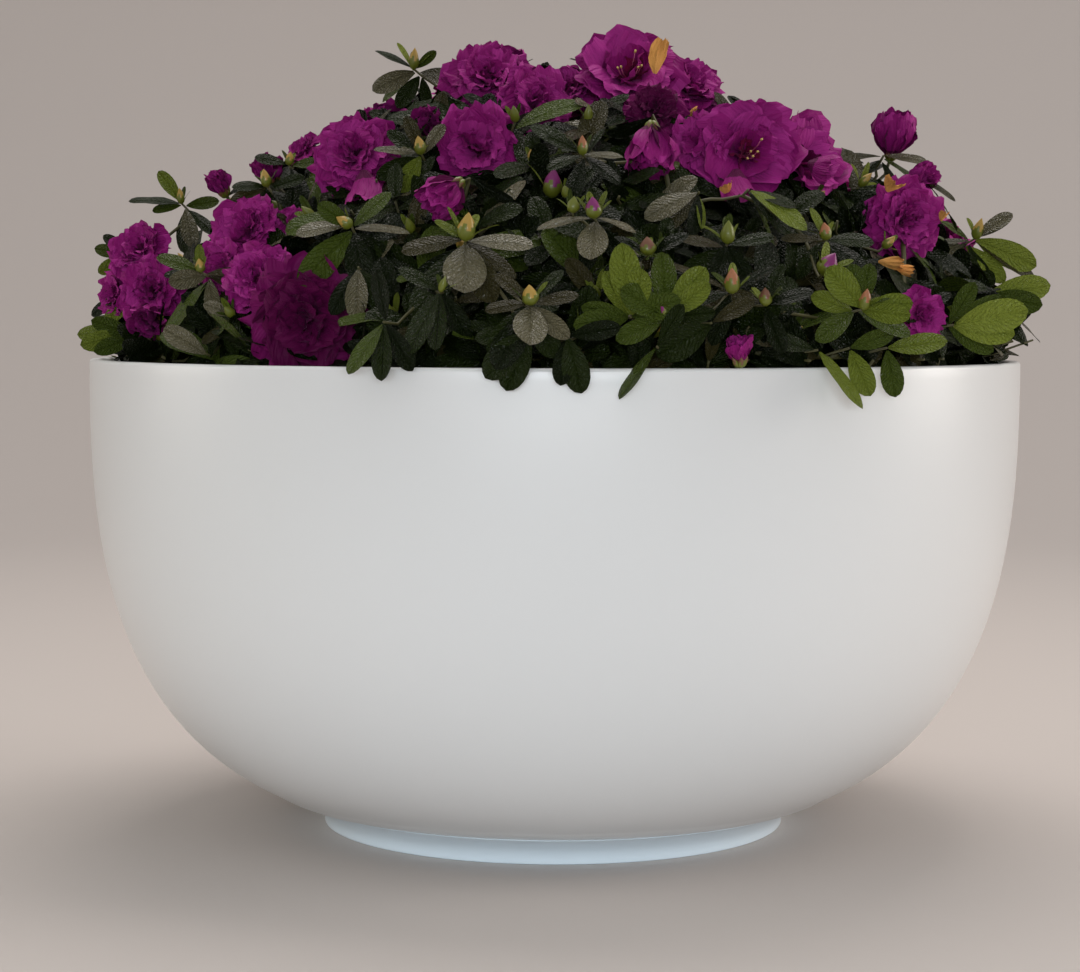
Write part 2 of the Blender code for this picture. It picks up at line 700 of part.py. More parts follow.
class Mass:
    """One mass of foliage, grown twig by twig from the tip of the bough that carries it."""

    def __init__(self, name, spot, bough, hub, space, blocked, surfaces, seed):
        self.name = name
        self.hub = hub
        self.space = space
        self.blocked = blocked
        self.surfaces = surfaces
        self.rng = random.Random(seed)
        self.parts = bpy.data.collections.new(f"{name}_parts")
        bpy.context.scene.collection.children.link(self.parts)
        self.forks = []
        self.pieces = []
        self.shoots = []
        tip, along = bough.tip()
        start = tip + along * GAP
        line = bent_line(start, along, hub, hub - start + Vector((0, 0, 0.02)), 2)
        bm = bmesh.new()
        radii = taper(STEM_RADIUS, TWIG_RADIUS * 1.15, len(line))
        tube(bm, line, radii, 3, along)
        self.stem = object_of(bm, name, surfaces["twig"])
        self.note_forks(line, 0.0, 1)
        self.make_core(spot)

    def make_core(self, spot):
        """The dark dense inside of the mass, a lumpy low dome that twigs stand out of."""
        middle = spot.lerp(self.hub.xy, 0.5)
        top = crown_height(middle.x, middle.y) - CORE_DEPTH
        low = max(self.hub.z - CORE_DROP, BOWL_HEIGHT + CORE_OVER_RIM)
        centre = Vector((middle.x, middle.y, (top + low) / 2))
        for attempt in range(LEAF_TRIES):
            size = 1 - CORE_STEP * attempt
            wide = min(self.space.depth(centre), CORE_REACH) * CORE_FIT * size
            tall = (top - low) / 2 * size
            bm = bmesh.new()
            bmesh.ops.create_uvsphere(bm, u_segments=6, v_segments=4, radius=1.0)
            for vert in bm.verts:
                lump = self.rng.uniform(CORE_LUMPS, 1.0)
                x, y, z = vert.co
                vert.co = centre + Vector((x * wide, y * wide, z * tall)) * lump
            if self.grown(bm, "core"):
                return

    def note_forks(self, line, travelled, first):
        """Keeps the places along a new twig from which later twigs may leave."""
        for k in range(first, len(line)):
            step = line[k] - line[k - 1]
            travelled += step.length
            self.forks.append((line[k], step.normalized(), travelled))

    def grown(self, bm, kind, near=(), spares=()):
        """Keeps this shape if it stays in the mass's space, touches no limb, and meets
        nothing grown before it but its own twig, in near, and the kinds in spares."""
        tree = BVHTree.FromBMesh(bm)
        others = [t for k, t in self.pieces if k not in spares and t not in near]
        fits = self.space.holds([v.co for v in bm.verts])
        if not fits or any(tree.overlap(other) for other in (self.blocked, *others)):
            bm.free()
            return None
        object_of(bm, f"{self.name}_{kind}", self.surfaces[kind], self.parts)
        self.pieces.append((kind, tree))
        return tree

    def twig_to(self, tip, facing):
        """Grows a twig to the tip from the fork that reaches it with least wood."""
        ahead = [f for f in self.forks if (tip - f[0]).length > SHORTEST_TWIG]
        ahead.sort(key=lambda f: (tip - f[0]).length + FORK_THRIFT * f[2])
        for start, along, travelled in ahead[:FORK_TRIES]:
            leave = along + (tip - start).normalized() * TIP_LEAVE
            line = bent_line(start, leave, tip, facing, TWIG_STEPS)
            bm = bmesh.new()
            tube(bm, line, taper(TWIG_RADIUS, TWIG_TIP_RADIUS, len(line)), 3)
            tree = self.grown(bm, "twig", spares=("twig", "core"))
            if tree:
                self.note_forks(line[:-1], travelled, 1)
                return Shoot(line, tree)
        return None

    def bloom_shoot(self, middle, facing, diameter, spares=()):
        """A shoot that ends in a bloom, or where that has no room a leafy one."""
        middle = self.space.nudged(middle, diameter * BLOOM_MARGIN)
        shoot = self.twig_to(middle - facing * diameter * BLOOM_SEAT, facing)
        if shoot:
            shape = bloom(middle, facing, diameter)
            shoot.blooms = self.grown(shape, "petal", [shoot.twig], spares)
            self.shoots.append(shoot)
        return shoot

    def leafy_shoot(self, tip, facing):
        shoot = self.twig_to(self.space.nudged(tip, BUD_WIDTH), facing)
        if shoot:
            self.shoots.append(shoot)
        return shoot

    def leaf_out(self):
        """Buds on the leafy shoots, then leaves down every shoot."""
        for shoot in self.shoots:
            if not shoot.blooms and self.rng.random() < BUD_SHARE:
                tip, facing = back_along(shoot.line, 0)
                shoot.bud = self.grown(bud(tip, facing), "bud", [shoot.twig])
        for shoot in self.shoots:
            first = BLOOM_COLLAR if shoot.blooms else LEAF_SPACING
            count = COLLAR_LEAVES if shoot.blooms else WHORL_LEAVES
            turn = self.rng.uniform(0, math.tau)
            for k in range(count):
                self.set_leaf(shoot, first + k * LEAF_SPACING, turn + k * GOLDEN_ANGLE)

    def set_leaf(self, shoot, down, turn):
        """One leaf of a shoot, turned on and drawn in each time that it has no room."""
        node, facing = back_along(shoot.line, down)
        across = facing.orthogonal().normalized()
        length = LEAF_LENGTH * self.rng.uniform(*LEAF_SIZES)
        width = LEAF_WIDTH * self.rng.uniform(*LEAF_SIZES)
        highest = LEAF_RISE[0] if shoot.blooms else LEAF_RISE[1]
        for attempt in range(LEAF_TRIES):
            spin = turn + attempt * LEAF_TURN
            out = Matrix.Rotation(spin, 3, facing) @ across
            rise = math.radians(self.rng.uniform(LEAF_RISE[0], highest))
            along = out * math.cos(rise) + facing * math.sin(rise)
            face = facing * math.cos(rise) - out * math.sin(rise)
            drawn_in = 1 - LEAF_STEP * attempt
            root = node - along * LEAF_SINK
            blade = leaf(root, along, face, length * drawn_in, width * drawn_in)
            if self.grown(blade, "leaf", [shoot.twig, shoot.bud]):
                return

    def fuse(self):
        """Joins everything into one closed body, and drops what came loose."""
        for solver in ("EXACT", "MANIFOLD"):
            joined = self.joined_by(solver)
            bm = largest_body(joined)
            if bm:
                break
        for obj in list(self.parts.objects):
            bpy.data.objects.remove(obj, do_unlink=True)
        bpy.data.collections.remove(self.parts)
        if not bm:
            raise ValueError(f"{self.name} doesn't fuse")
        bm.to_mesh(joined)
        bm.free()
        self.stem.data = joined

    def joined_by(self, solver):
        join = self.stem.modifiers.new("join", "BOOLEAN")
        join.operation = "UNION"
        join.operand_type = "COLLECTION"
        join.collection = self.parts
        join.solver = solver
        graph = bpy.context.evaluated_depsgraph_get()
        joined = bpy.data.meshes.new_from_object(self.stem.evaluated_get(graph))
        self.stem.modifiers.remove(join)
        return joined


def islands(bm):
    """The mesh's faces, in groups that hang together."""
    left = set(bm.faces)
    groups = []
    while left:
        start = left.pop()
        group, edge = [start], [start]
        while edge:
            for e in edge.pop().edges:
                for face in e.link_faces:
                    if face in left:
                        left.remove(face)
                        group.append(face)
                        edge.append(face)
        groups.append(group)
    return groups


def volume_of(faces):
    total = 0.0
    for face in faces:
        corners = [v.co for v in face.verts]
        for b, c in zip(corners[1:], corners[2:]):
            total += corners[0].dot(b.cross(c)) / 6
    return total


def closed(bm):
    return all(len(edge.link_faces) == 2 for edge in bm.edges)


def largest_body(mesh):
    """The largest closed body of a mesh, or None where a seam of it stands open."""
    bm = bmesh.new()
    bm.from_mesh(mesh)
    bmesh.ops.remove_doubles(bm, verts=bm.verts, dist=1e-7)
    groups = sorted(islands(bm), key=volume_of)
    loose = [face for group in groups[:-1] for face in group]
    bmesh.ops.delete(bm, geom=loose, context="FACES")
    if closed(bm) and volume_of(bm.faces) > 0:
        return bm
    bm.free()
    return None


# --- Crown -------------------------------------------------------------------------------


def shoots():
    """Places (x, y) over the mound, even however many are taken."""
    for k in range(1, TIPS + 1):
        out = TIP_REACH * math.sqrt(k * EVEN_STEPS[0] % 1.0)
        angle = math.tau * (k * EVEN_STEPS[1] % 1.0)
        x = CROWN_MIDDLE.x + CROWN_HALF_WIDTH * out * math.cos(angle)
        y = CROWN_MIDDLE.y + CROWN_HALF_DEPTH * out * math.sin(angle)
        yield x, y


def crowded(point, taken):
    return any((point - other).length < reach for other, reach in taken)


def facing_at(point):
    """The way a shoot at this point grows: out of the mound, and somewhat upwards."""
    out = Vector((point.x - CROWN_MIDDLE.x, point.y - CROWN_MIDDLE.y, 0))
    return (crown_normal(point.x, point.y) + out.normalized() * OUTWARD_LEAN).normalized()


def make_crown(places, boughs, surfaces):
    """All the masses: the listed blooms and sprigs first, then shoots by the rule."""
    blocked = obstacles(boughs)
    rng = random.Random(11)
    masses = {}
    for order, (name, spot) in enumerate(places.items()):
        others = [other for key, other in places.items() if key != name]
        space = Space(spot, others)
        hub = hub_of(spot)
        masses[name] = Mass(
            name, spot, boughs[name], hub, space, blocked, surfaces, 40 + order
        )

    def owner(point):
        return min(places, key=lambda name: (places[name] - point.xy).length)

    taken = []
    for place, diameter in SHOW_BLOOMS:
        middle = Vector(place)
        facing = (facing_at(middle) + SHOW_TILT).normalized()
        mass = masses[owner(middle)]
        if mass.bloom_shoot(middle, facing, diameter, ("petal", "twig", "core")):
            taken.append((middle, diameter * BLOOM_ROOM))
    for place, way in SHOW_SPRIGS:
        tip = Vector(place)
        if masses[owner(tip)].leafy_shoot(tip, Vector(way).normalized()):
            taken.append((tip, TIP_SPACING))
    for x, y in shoots():
        deep = rng.uniform(*TIP_DEPTHS)
        point = Vector((x, y, crown_height(x, y) - deep))
        blooms = rng.random() < BLOOM_SHARE and y > BLOOMS_FROM
        diameter = BLOOM_DIAMETER * rng.uniform(*BLOOM_SIZES)
        if crowded(point, taken):
            continue
        mass = masses[owner(point)]
        facing = facing_at(point)
        if blooms:
            grown = mass.bloom_shoot(point, facing, diameter)
        else:
            grown = mass.leafy_shoot(point, facing)
        if grown:
            taken.append((point, TIP_SPACING))
    for mass in masses.values():
        mass.leaf_out()
        mass.fuse()


def main():
    clear_scene()
    bark = material("bark", BARK, 0.85)
    surfaces = {
        "twig": bark,
        "core": material("core", CORE_GREEN, 0.7),
        "leaf": material("leaf", LEAF_GREEN, 0.4),
        "petal": material("petal", PETAL, 0.55),
        "bud": material("bud", BUD_GREEN, 0.45),
    }
    make_foot(material("foot", WHITE_FOOT, 0.3))
    make_bowl(material("bowl", WHITE, 0.25))
    make_soil(material("soil", EARTH, 0.95))
    make_trunk(bark)
    places = mass_places()
    boughs = make_boughs(places, bark)
    make_crown(places, boughs, surfaces)


main()
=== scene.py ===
"""The looks of an azalea in full bloom and its wide white bowl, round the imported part.

Metres, in the part's own frame. The bowl, its foot and the soil are made again as fine
turned meshes. The trunk and the boughs follow the same lines as the solids do. From them
grow twigs, leaves, blooms and buds, by the rule that the solids' masses follow, on the
same mound and in the same spaces, only closer together and finer. The blooms and sprigs
that the crown shows from its front are listed in tables, each with its place and way.
"""

import math
import random

import bpy
import numpy as np
from mathutils import Matrix, Vector, noise


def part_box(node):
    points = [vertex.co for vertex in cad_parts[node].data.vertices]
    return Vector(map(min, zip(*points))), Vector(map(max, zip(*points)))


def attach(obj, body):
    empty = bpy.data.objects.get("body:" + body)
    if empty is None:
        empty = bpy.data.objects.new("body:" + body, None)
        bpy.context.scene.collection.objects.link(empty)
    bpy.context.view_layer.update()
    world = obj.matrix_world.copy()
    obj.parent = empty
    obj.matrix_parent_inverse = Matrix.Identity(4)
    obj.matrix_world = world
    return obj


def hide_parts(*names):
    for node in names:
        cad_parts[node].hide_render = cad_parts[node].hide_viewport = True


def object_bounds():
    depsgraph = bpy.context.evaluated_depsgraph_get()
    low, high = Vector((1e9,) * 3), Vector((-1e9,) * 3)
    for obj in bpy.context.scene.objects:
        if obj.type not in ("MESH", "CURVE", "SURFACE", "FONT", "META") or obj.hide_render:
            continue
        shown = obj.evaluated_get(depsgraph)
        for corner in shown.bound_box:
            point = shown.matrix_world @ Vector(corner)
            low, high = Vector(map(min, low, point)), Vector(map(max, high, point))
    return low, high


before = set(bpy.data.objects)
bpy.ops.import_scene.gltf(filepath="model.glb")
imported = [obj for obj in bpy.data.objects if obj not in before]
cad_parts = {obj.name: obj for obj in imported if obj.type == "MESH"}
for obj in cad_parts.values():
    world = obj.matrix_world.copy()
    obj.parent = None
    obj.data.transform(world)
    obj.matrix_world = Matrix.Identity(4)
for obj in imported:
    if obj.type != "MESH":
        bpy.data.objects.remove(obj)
cad_box = [list(corner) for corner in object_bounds()]

# --- Sizes -------------------------------------------------------------------------------

GAP = 0.0003
BOWL_RADIUS, _, BOWL_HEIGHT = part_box("bowl")[1]
BOWL_POLE = 0.0013
BOWL_FULLNESS = 2.795
BOWL_ROUNDING = 3.273
BOWL_WALL = 0.007
RIM_SHY = 0.012  # how far inside the rim the rule's own leaves stay
RIM_SKIM = 0.003  # how close over the rim a listed leaf may lie
RIM_ROUND = 0.0022
BAND_TOP = 0.0272  # height of the crease over the band round the foot's head
BAND_PROUD = 0.0009
BAND_STEPS, BOWL_STEPS, FOOT_STEPS, ARC_STEPS = 8, 70, 18, 6
FOOT_FLARE, _, FOOT_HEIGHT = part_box("foot_ring")[1]
FOOT_RADIUS = 0.153
FOOT_EDGE = 0.0009
FOOT_CURVE = 2.6
TURNED_SIDES = 200
AXIS_HOLE = 0.001
SOIL_TOP = BOWL_HEIGHT - 0.025
SOIL_CROWN = 0.004

TRUNK_LEAN = Vector((0.006, -0.003))
TRUNK_HEIGHT = 0.036
TRUNK_RADIUS = 0.0125
TRUNK_TIP_RADIUS = 0.0095
ROOT_FLARE = 0.75
FLARE_FALL = 5
ROOT_LOBES = 3
LOBE_DEPTH = 0.35
BOUGH_STEPS = 5
BOUGH_RADIUS = 0.0058
BOUGH_TIP_RADIUS = 0.0030
SIDE_BOUGH_RADIUS = 0.0042
MAIN_BOUGHS = 5
BOUGH_SHARE = 0.80
BRANCH_SHARE = 0.78
BOUGH_LIFT = 0.004
BOUGH_CLIMB = (0.35, 0.10)
BRANCH_LEAN = 0.5
BRANCH_CLIMB = 0.2
FIRST_FORK = 0.30
FORK_STEP = 0.12
FORK_MARGIN = 1.15
SIDE_START = 0.42
RISE_START = 0.24
WRIGGLE = 0.006

CROWN_MIDDLE = Vector((0.015, 0.0))
CROWN_HALF_WIDTH = 0.318
CROWN_HALF_DEPTH = 0.312
CROWN_EDGE = 0.318
CROWN_RISE = 0.192
CROWN_FALL = 2.15
TOP_PLACE = Vector((0.040, -0.012))
INNER_MASSES = 5
INNER_RADIUS = 0.135
INNER_START = math.radians(-131)
OUTER_MASSES = 9
OUTER_RADIUS = 0.250
OUTER_START = math.radians(-149)
HUB_SHARE = 0.55
HUB_INWARD = 0.90
HUB_OVER_RIM = 0.020
EVEN_STEPS = (0.7548776662, 0.5698402910)
TIP_REACH = 0.95
TIPS = 2600
TIP_SPACING = 0.0255
TIP_DEPTHS = (0.014, 0.036)
OUTWARD_LEAN = 0.15
GOLDEN_ANGLE = math.pi * (3 - math.sqrt(5))
UP = Vector((0, 0, 1))

LIMIT_LOW = Vector(cad_box[0]) - Vector((0.012, 0.012, 0.0))
LIMIT_HIGH = Vector(cad_box[1]) + Vector((0.012, 0.012, 0.012))

# --- Materials ---------------------------------------------------------------------------


def set_sockets(tree, node, sockets):
    """Gives each socket a value, or links it to another node's output."""
    for key, value in sockets.items():
        if isinstance(value, bpy.types.NodeSocket):
            tree.links.new(value, node.inputs[key])
        else:
            node.inputs[key].default_value = value


def new_node(tree, kind, sockets, **settings):
    made = tree.nodes.new("ShaderNode" + kind)
    for key, value in settings.items():
        setattr(made, key, value)
    set_sockets(tree, made, sockets)
    return made


def object_place(tree):
    return new_node(tree, "TexCoord", {}).outputs["Object"]


def set_shader(made, sockets):
    set_sockets(made.node_tree, made.node_tree.nodes["Principled BSDF"], sockets)


def material_of(name, color, roughness, sockets):
    made = bpy.data.materials.new(name)
    made.use_nodes = True
    made.diffuse_color = (*color, 1)
    set_shader(made, {"Base Color": (*color, 1), "Roughness": roughness, **sockets})
    return made


def add_bump(made, height, strength, distance):
    sockets = {"Strength": strength, "Distance": distance, "Height": height}
    set_shader(made, {"Normal": new_node(made.node_tree, "Bump", sockets).outputs["Normal"]})


def add_noise_bump(made, scale, strength, distance, detail=3.0, stretch=None):
    """A fine relief from object-space noise."""
    tree = made.node_tree
    place = object_place(tree)
    if stretch:
        mapping = new_node(tree, "Mapping", {"Scale": stretch, "Vector": place})
        place = mapping.outputs["Vector"]
    pattern = new_node(tree, "TexNoise", {"Scale": scale, "Detail": detail, "Vector": place})
    add_bump(made, pattern.outputs["Fac"], strength, distance)
    return pattern.outputs["Fac"]


def tint(made, pattern, colors):
    """Lets the pattern vary the base colour between two."""
    ramp = new_node(made.node_tree, "ValToRGB", {"Fac": pattern})
    for stop, position, color in zip(ramp.color_ramp.elements, (0.3, 0.7), colors):
        stop.position = position
        stop.color = (*color, 1)
    set_shader(made, {"Base Color": ramp.outputs["Color"]})


def blade_noise(tree, scale, detail, spread, lengthwise):
    """Noise drawn out along the blade's (u, v), which differs from place to place."""
    uv = new_node(tree, "UVMap", {}, uv_map="blade").outputs["UV"]
    sockets = {0: object_place(tree), 1: (spread, spread, spread)}
    place = new_node(tree, "VectorMath", sockets, operation="MULTIPLY").outputs[0]
    sockets = {0: uv, 1: (1, lengthwise, 1), 2: place}
    drawn = new_node(tree, "VectorMath", sockets, operation="MULTIPLY_ADD").outputs[0]
    pattern = new_node(tree, "TexNoise", {"Scale": scale, "Detail": detail, "Vector": drawn})
    return pattern.outputs["Fac"], uv


RIB_SLANT, RIB_WANDER, RIB_PITCH = -0.55, 0.16, 34.0  # of the side veins, in blade lengths
WEB_SCALE = 520.0


def leaf_material(name, color, roughness, gloss, relief):
    """A leaf's blade: its midrib and side veins, drawn in its (u, v), and fine wrinkles."""
    made = material_of(name, color, roughness, {"Specular IOR Level": gloss})
    tree = made.node_tree

    def maths(operation, *values):
        return new_node(tree, "Math", dict(enumerate(values)), operation=operation).outputs[0]

    uneven, uv = blade_noise(tree, 7.0, 2.0, 14.0, 1.0)
    u, v, _ = new_node(tree, "SeparateXYZ", {"Vector": uv}).outputs
    across = maths("ABSOLUTE", maths("SUBTRACT", u, 0.5))
    slant = maths("MULTIPLY_ADD", across, RIB_SLANT, v)
    slant = maths("MULTIPLY_ADD", uneven, RIB_WANDER, slant)
    ribs = maths("ABSOLUTE", maths("SINE", maths("MULTIPLY", slant, RIB_PITCH)))
    ribs = maths("MULTIPLY", maths("POWER", ribs, 0.6), 0.8)
    midrib = maths("SMOOTH_MIN", maths("MULTIPLY", across, 16.0), 1.0, 0.3)
    sockets = {"Scale": WEB_SCALE, "Vector": object_place(tree)}
    net = new_node(tree, "TexVoronoi", sockets, feature="DISTANCE_TO_EDGE")
    web = maths("MULTIPLY", maths("MINIMUM", net.outputs["Distance"], 0.3), 1.8)
    add_bump(made, maths("ADD", maths("ADD", ribs, midrib), web), 0.9, relief)
    return made


SOFT = {
    "Sheen Weight": 0.06, "Sheen Roughness": 0.4, "Sheen Tint": (0.9, 0.4, 0.8, 1),
    "Specular IOR Level": 0.10,
}


def petal_material(name, color):
    """Soft petals: fine veins and crinkles run out along each from its foot."""
    made = material_of(name, color, 0.55, SOFT)
    add_bump(made, blade_noise(made.node_tree, 22.0, 3.0, 1.6, 0.14)[0], 0.9, 0.0022)
    return made


LEAF_TONES = {
    "leaf_dark": (0.0050, 0.0094, 0.0013),
    "leaf_deep": (0.0122, 0.0205, 0.0028),
    "leaf_green": (0.053, 0.078, 0.0096),
    "leaf_bronze": (0.034, 0.030, 0.009),
    # Painted sheen: the next tone is a pale grey-olive base colour that stands for the bright gloss of
    # leaves catching the lamps; its leaves are also given more gloss.
    "leaf_silver": (0.125, 0.112, 0.060),
    "leaf_lime": (0.139, 0.178, 0.021),
    "leaf_young": (0.205, 0.25, 0.034),
}
PETAL_TONES = {
    "petal": (0.270, 0.0105, 0.162),
    # Painted highlight: the lighter tone, which on a petal's last row stands for light on its thin rim.
    "petal_light": (0.37, 0.025, 0.235),
    # Painted shade: a darker tone for the outer petals of blooms that lie in shade.
    "petal_dusk": (0.165, 0.0056, 0.092),
    # The petals' own darker throat, deepened into painted shade: it goes on petal feet, on the innermost
    # rings and on blooms in shade.
    "petal_deep": (0.096, 0.0030, 0.050),
    "petal_throat": (0.20, 0.008, 0.060),
    "petal_withered": (0.95, 0.46, 0.12),
}
BUD_TONES = {
    "bud_green": (0.13, 0.15, 0.012),
    "bud_yellow": (0.40, 0.25, 0.045),
    "bud_salmon": (0.34, 0.13, 0.055),
    "bud_brown": (0.16, 0.065, 0.035),
    "bud_purple": (0.20, 0.012, 0.13),
}
LEAF_NAMES, PETAL_NAMES, BUD_NAMES = list(LEAF_TONES), list(PETAL_TONES), list(BUD_TONES)
BUD_SURFACE = (0.45, {"Coat Weight": 0.15}, (500.0, 0.3, 0.0004))
GLAZE = {"Coat Weight": 0.35, "Coat Roughness": 0.22}
GLAZE_RELIEF = (5.0, 0.06, 0.003, 2.0)
# The other surfaces: name, colour, roughness, other sockets, and the relief's scale,
# strength, depth, detail and stretch.
OTHER_SURFACES = [
    ("twig_green", (0.060, 0.055, 0.014), 0.6, {}, (420.0, 0.4, 0.0004)),
    ("twig_brown", (0.065, 0.040, 0.022), 0.75, {}, (420.0, 0.6, 0.0005)),
    ("bark", (0.15, 0.105, 0.07), 0.9, {}, (260.0, 0.9, 0.0012, 6.0, (1, 1, 0.35))),
    ("stamen", (0.45, 0.10, 0.20), 0.5, {}, None),
    ("anther", (0.55, 0.40, 0.12), 0.7, {}, None),
    ("shell", (0.765, 0.775, 0.78), 0.34, GLAZE, GLAZE_RELIEF),
    # The foot's pale blue tint is painted reflection of the cool light round the foot.
    ("foot_shell", (0.71, 0.81, 0.885), 0.32, GLAZE, GLAZE_RELIEF),
    ("soil", (0.035, 0.026, 0.019), 0.95, {}, (240.0, 0.9, 0.003, 6.0)),
]
TINTS = {
    "bark": ((0.075, 0.05, 0.033), (0.22, 0.165, 0.115)),
    "soil": ((0.016, 0.011, 0.008), (0.075, 0.055, 0.040)),
}


def make_materials():
    made = {}
    for name, color in LEAF_TONES.items():
        gloss, relief = (0.55, 0.0014) if name == "leaf_silver" else (0.16, 0.0011)
        made[name] = leaf_material(name, color, 0.25, gloss, relief)
    for name, color in PETAL_TONES.items():
        made[name] = petal_material(name, color)
    buds = [(name, color, *BUD_SURFACE) for name, color in BUD_TONES.items()]
    for name, color, roughness, sockets, relief in OTHER_SURFACES + buds:
        made[name] = material_of(name, color, roughness, sockets)
        pattern = add_noise_bump(made[name], *relief) if relief else None
        if name in TINTS:
            tint(made[name], pattern, TINTS[name])
    return made


SURFACES = make_materials()

# --- Meshes ------------------------------------------------------------------------------


def object_of(name, data):
    made = bpy.data.objects.new(name, data)
    bpy.context.scene.collection.objects.link(made)
    return made


def mesh_object(name, surfaces, points, quads):
    mesh = bpy.data.meshes.new(name)
    mesh.from_pydata(np.reshape(points, (-1, 3)).tolist(), [], quads.tolist())
    mesh.shade_smooth()
    for surface in surfaces:
        mesh.materials.append(surface)
    return object_of(name, mesh)


def mesh_of(name, nodes, slot, surfaces, points, quads, slots=None, blades=None):
    """A piece of the object: it rides on the one body and stands for some nodes."""
    made = mesh_object(name, [SURFACES[key] for key in surfaces], points, quads)
    if slots is not None:
        made.data.polygons.foreach_set("material_index", np.asarray(slots, np.int32))
    if blades is not None:
        flat = np.asarray(blades, np.float32).reshape(-1, 2)[quads.ravel()]
        made.data.uv_layers.new(name="blade").data.foreach_set("uv", flat.ravel())
    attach(made, "root")
    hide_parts(*nodes)


def grid_quads(rows, columns, closed=False, count=1):
    """Corner numbers of the quads of some grids of points, one after another."""
    across = columns if closed else columns - 1
    i, j = np.meshgrid(np.arange(rows - 1) * columns, np.arange(across), indexing="ij")
    k = (j + 1) % columns
    one = np.stack([i + j, i + k, i + columns + k, i + columns + j], axis=-1)
    starts = np.arange(count)[:, None, None] * rows * columns
    return (one.reshape(1, -1, 4) + starts).reshape(-1, 4)


def turned(profile, segments):
    """Points and quads of a profile (r, z) turned about Z."""
    profile = np.array(profile)
    angles = np.arange(segments) * math.tau / segments
    r, z = profile[:, :1], profile[:, 1:]
    points = np.stack([r * np.cos(angles), r * np.sin(angles), z + 0 * angles], axis=-1)
    return points, grid_quads(len(profile), segments, closed=True)


def spokes(count):
    """Angles round a full turn, each with its cosine and sine."""
    for k in range(count):
        angle = math.tau * k / count
        yield angle, math.cos(angle), math.sin(angle)


# --- Bowl, foot and soil -----------------------------------------------------------------


def bowl_outer_radius(z):
    depth = (BOWL_HEIGHT - z) / (BOWL_HEIGHT - BOWL_POLE)
    return BOWL_RADIUS * (1 - depth**BOWL_FULLNESS) ** (1 / BOWL_ROUNDING)


def arc(centre_r, centre_z, radius, start, end, steps):
    """Points (r, z) along an arc, its angles in degrees from outwards, up."""
    angles = [math.radians(start + (end - start) * k / steps) for k in range(steps + 1)]
    return [(centre_r + radius * math.cos(a), centre_z + radius * math.sin(a)) for a in angles]


def inset_line(line, wall):
    moved = []
    for k, (r, z) in enumerate(line):
        r0, z0 = line[max(k - 1, 0)]
        r1, z1 = line[min(k + 1, len(line) - 1)]
        along = Vector((r1 - r0, z1 - z0)).normalized()
        moved.append((r - along.y * wall, z + along.x * wall))
    return moved


def make_bowl():
    high = BOWL_HEIGHT - RIM_ROUND
    shares = [(k / BOWL_STEPS) ** 1.5 for k in range(BOWL_STEPS + 1)]
    outer = [(bowl_outer_radius(z), z) for z in (BAND_TOP + (high - BAND_TOP) * s for s in shares)]
    low = FOOT_HEIGHT + GAP
    band_in = bowl_outer_radius(low)
    band = [(band_in - 0.002, low)]
    for k in range(BAND_STEPS + 1):
        t = k / BAND_STEPS
        z = low + (BAND_TOP - low) * t
        r = band_in + (outer[0][0] - band_in) * t
        swell = BAND_PROUD * math.sin(math.pi * t) ** 0.7
        band.append((r + swell * 0.55, z - swell))
    rim = arc(BOWL_RADIUS - RIM_ROUND, high, RIM_ROUND, 0, 90, ARC_STEPS)[1:]
    rim += arc(BOWL_RADIUS - BOWL_WALL + RIM_ROUND * 0.8, high, RIM_ROUND, 90, 180, ARC_STEPS)
    inner = [p for p in inset_line(outer, BOWL_WALL) if SOIL_TOP - 0.05 < p[1] < high - 0.002]
    profile = [(AXIS_HOLE, low), *band, *outer[1:], *rim, *reversed(inner)]
    mesh_of("bowl_shell", ["bowl"], "bowl_shell", ["shell"], *turned(profile, TURNED_SIDES))


def make_foot():
    edge = arc(FOOT_RADIUS - FOOT_EDGE, FOOT_EDGE, FOOT_EDGE, -90, 0, 4)
    profile = [(AXIS_HOLE, 0.0), *edge[:-1]]
    for k in range(FOOT_STEPS + 1):
        r = FOOT_RADIUS + (FOOT_FLARE - FOOT_RADIUS) * (k / FOOT_STEPS) ** FOOT_CURVE
        profile.append((r, FOOT_EDGE + (FOOT_HEIGHT - 0.0013) * k / FOOT_STEPS))
    profile += [(r, FOOT_HEIGHT) for r in (FOOT_FLARE - 0.0006, FOOT_FLARE - 0.004, AXIS_HOLE)]
    shape = turned(profile, TURNED_SIDES)
    mesh_of("foot_shell", ["foot_ring"], "foot_ring", ["foot_shell"], *shape)


def make_soil():
    """The crumbly top of the soil, with its sides going down inside the bowl."""
    edge = bowl_outer_radius(SOIL_TOP) - BOWL_WALL - 0.0006
    rings, segments = 60, 150
    points = []
    for i in range(rings + 1):
        share = i / rings
        r = edge * share
        for _, c, s in spokes(segments):
            p = Vector((r * c, r * s, 0))
            z = SOIL_TOP + SOIL_CROWN * (1 - share**2)
            z += 0.0030 * noise.noise(p * 55) + 0.0026 * abs(noise.noise(p * 150))
            points.append((r * c, r * s, z - 0.0015))
    for depth in (0.004, 0.04):
        r = bowl_outer_radius(SOIL_TOP - depth) - BOWL_WALL - 0.0012
        points += [(r * c, r * s, SOIL_TOP - depth) for _, c, s in spokes(segments)]
    quads = grid_quads(rings + 3, segments, closed=True)
    mesh_of("potting_mix", ["soil"], "soil", ["soil"], points, quads)


# --- Limbs -------------------------------------------------------------------------------


def nudge(rng, most):
    """A small random move."""
    return Vector([rng.uniform(-most, most) for _ in range(3)])


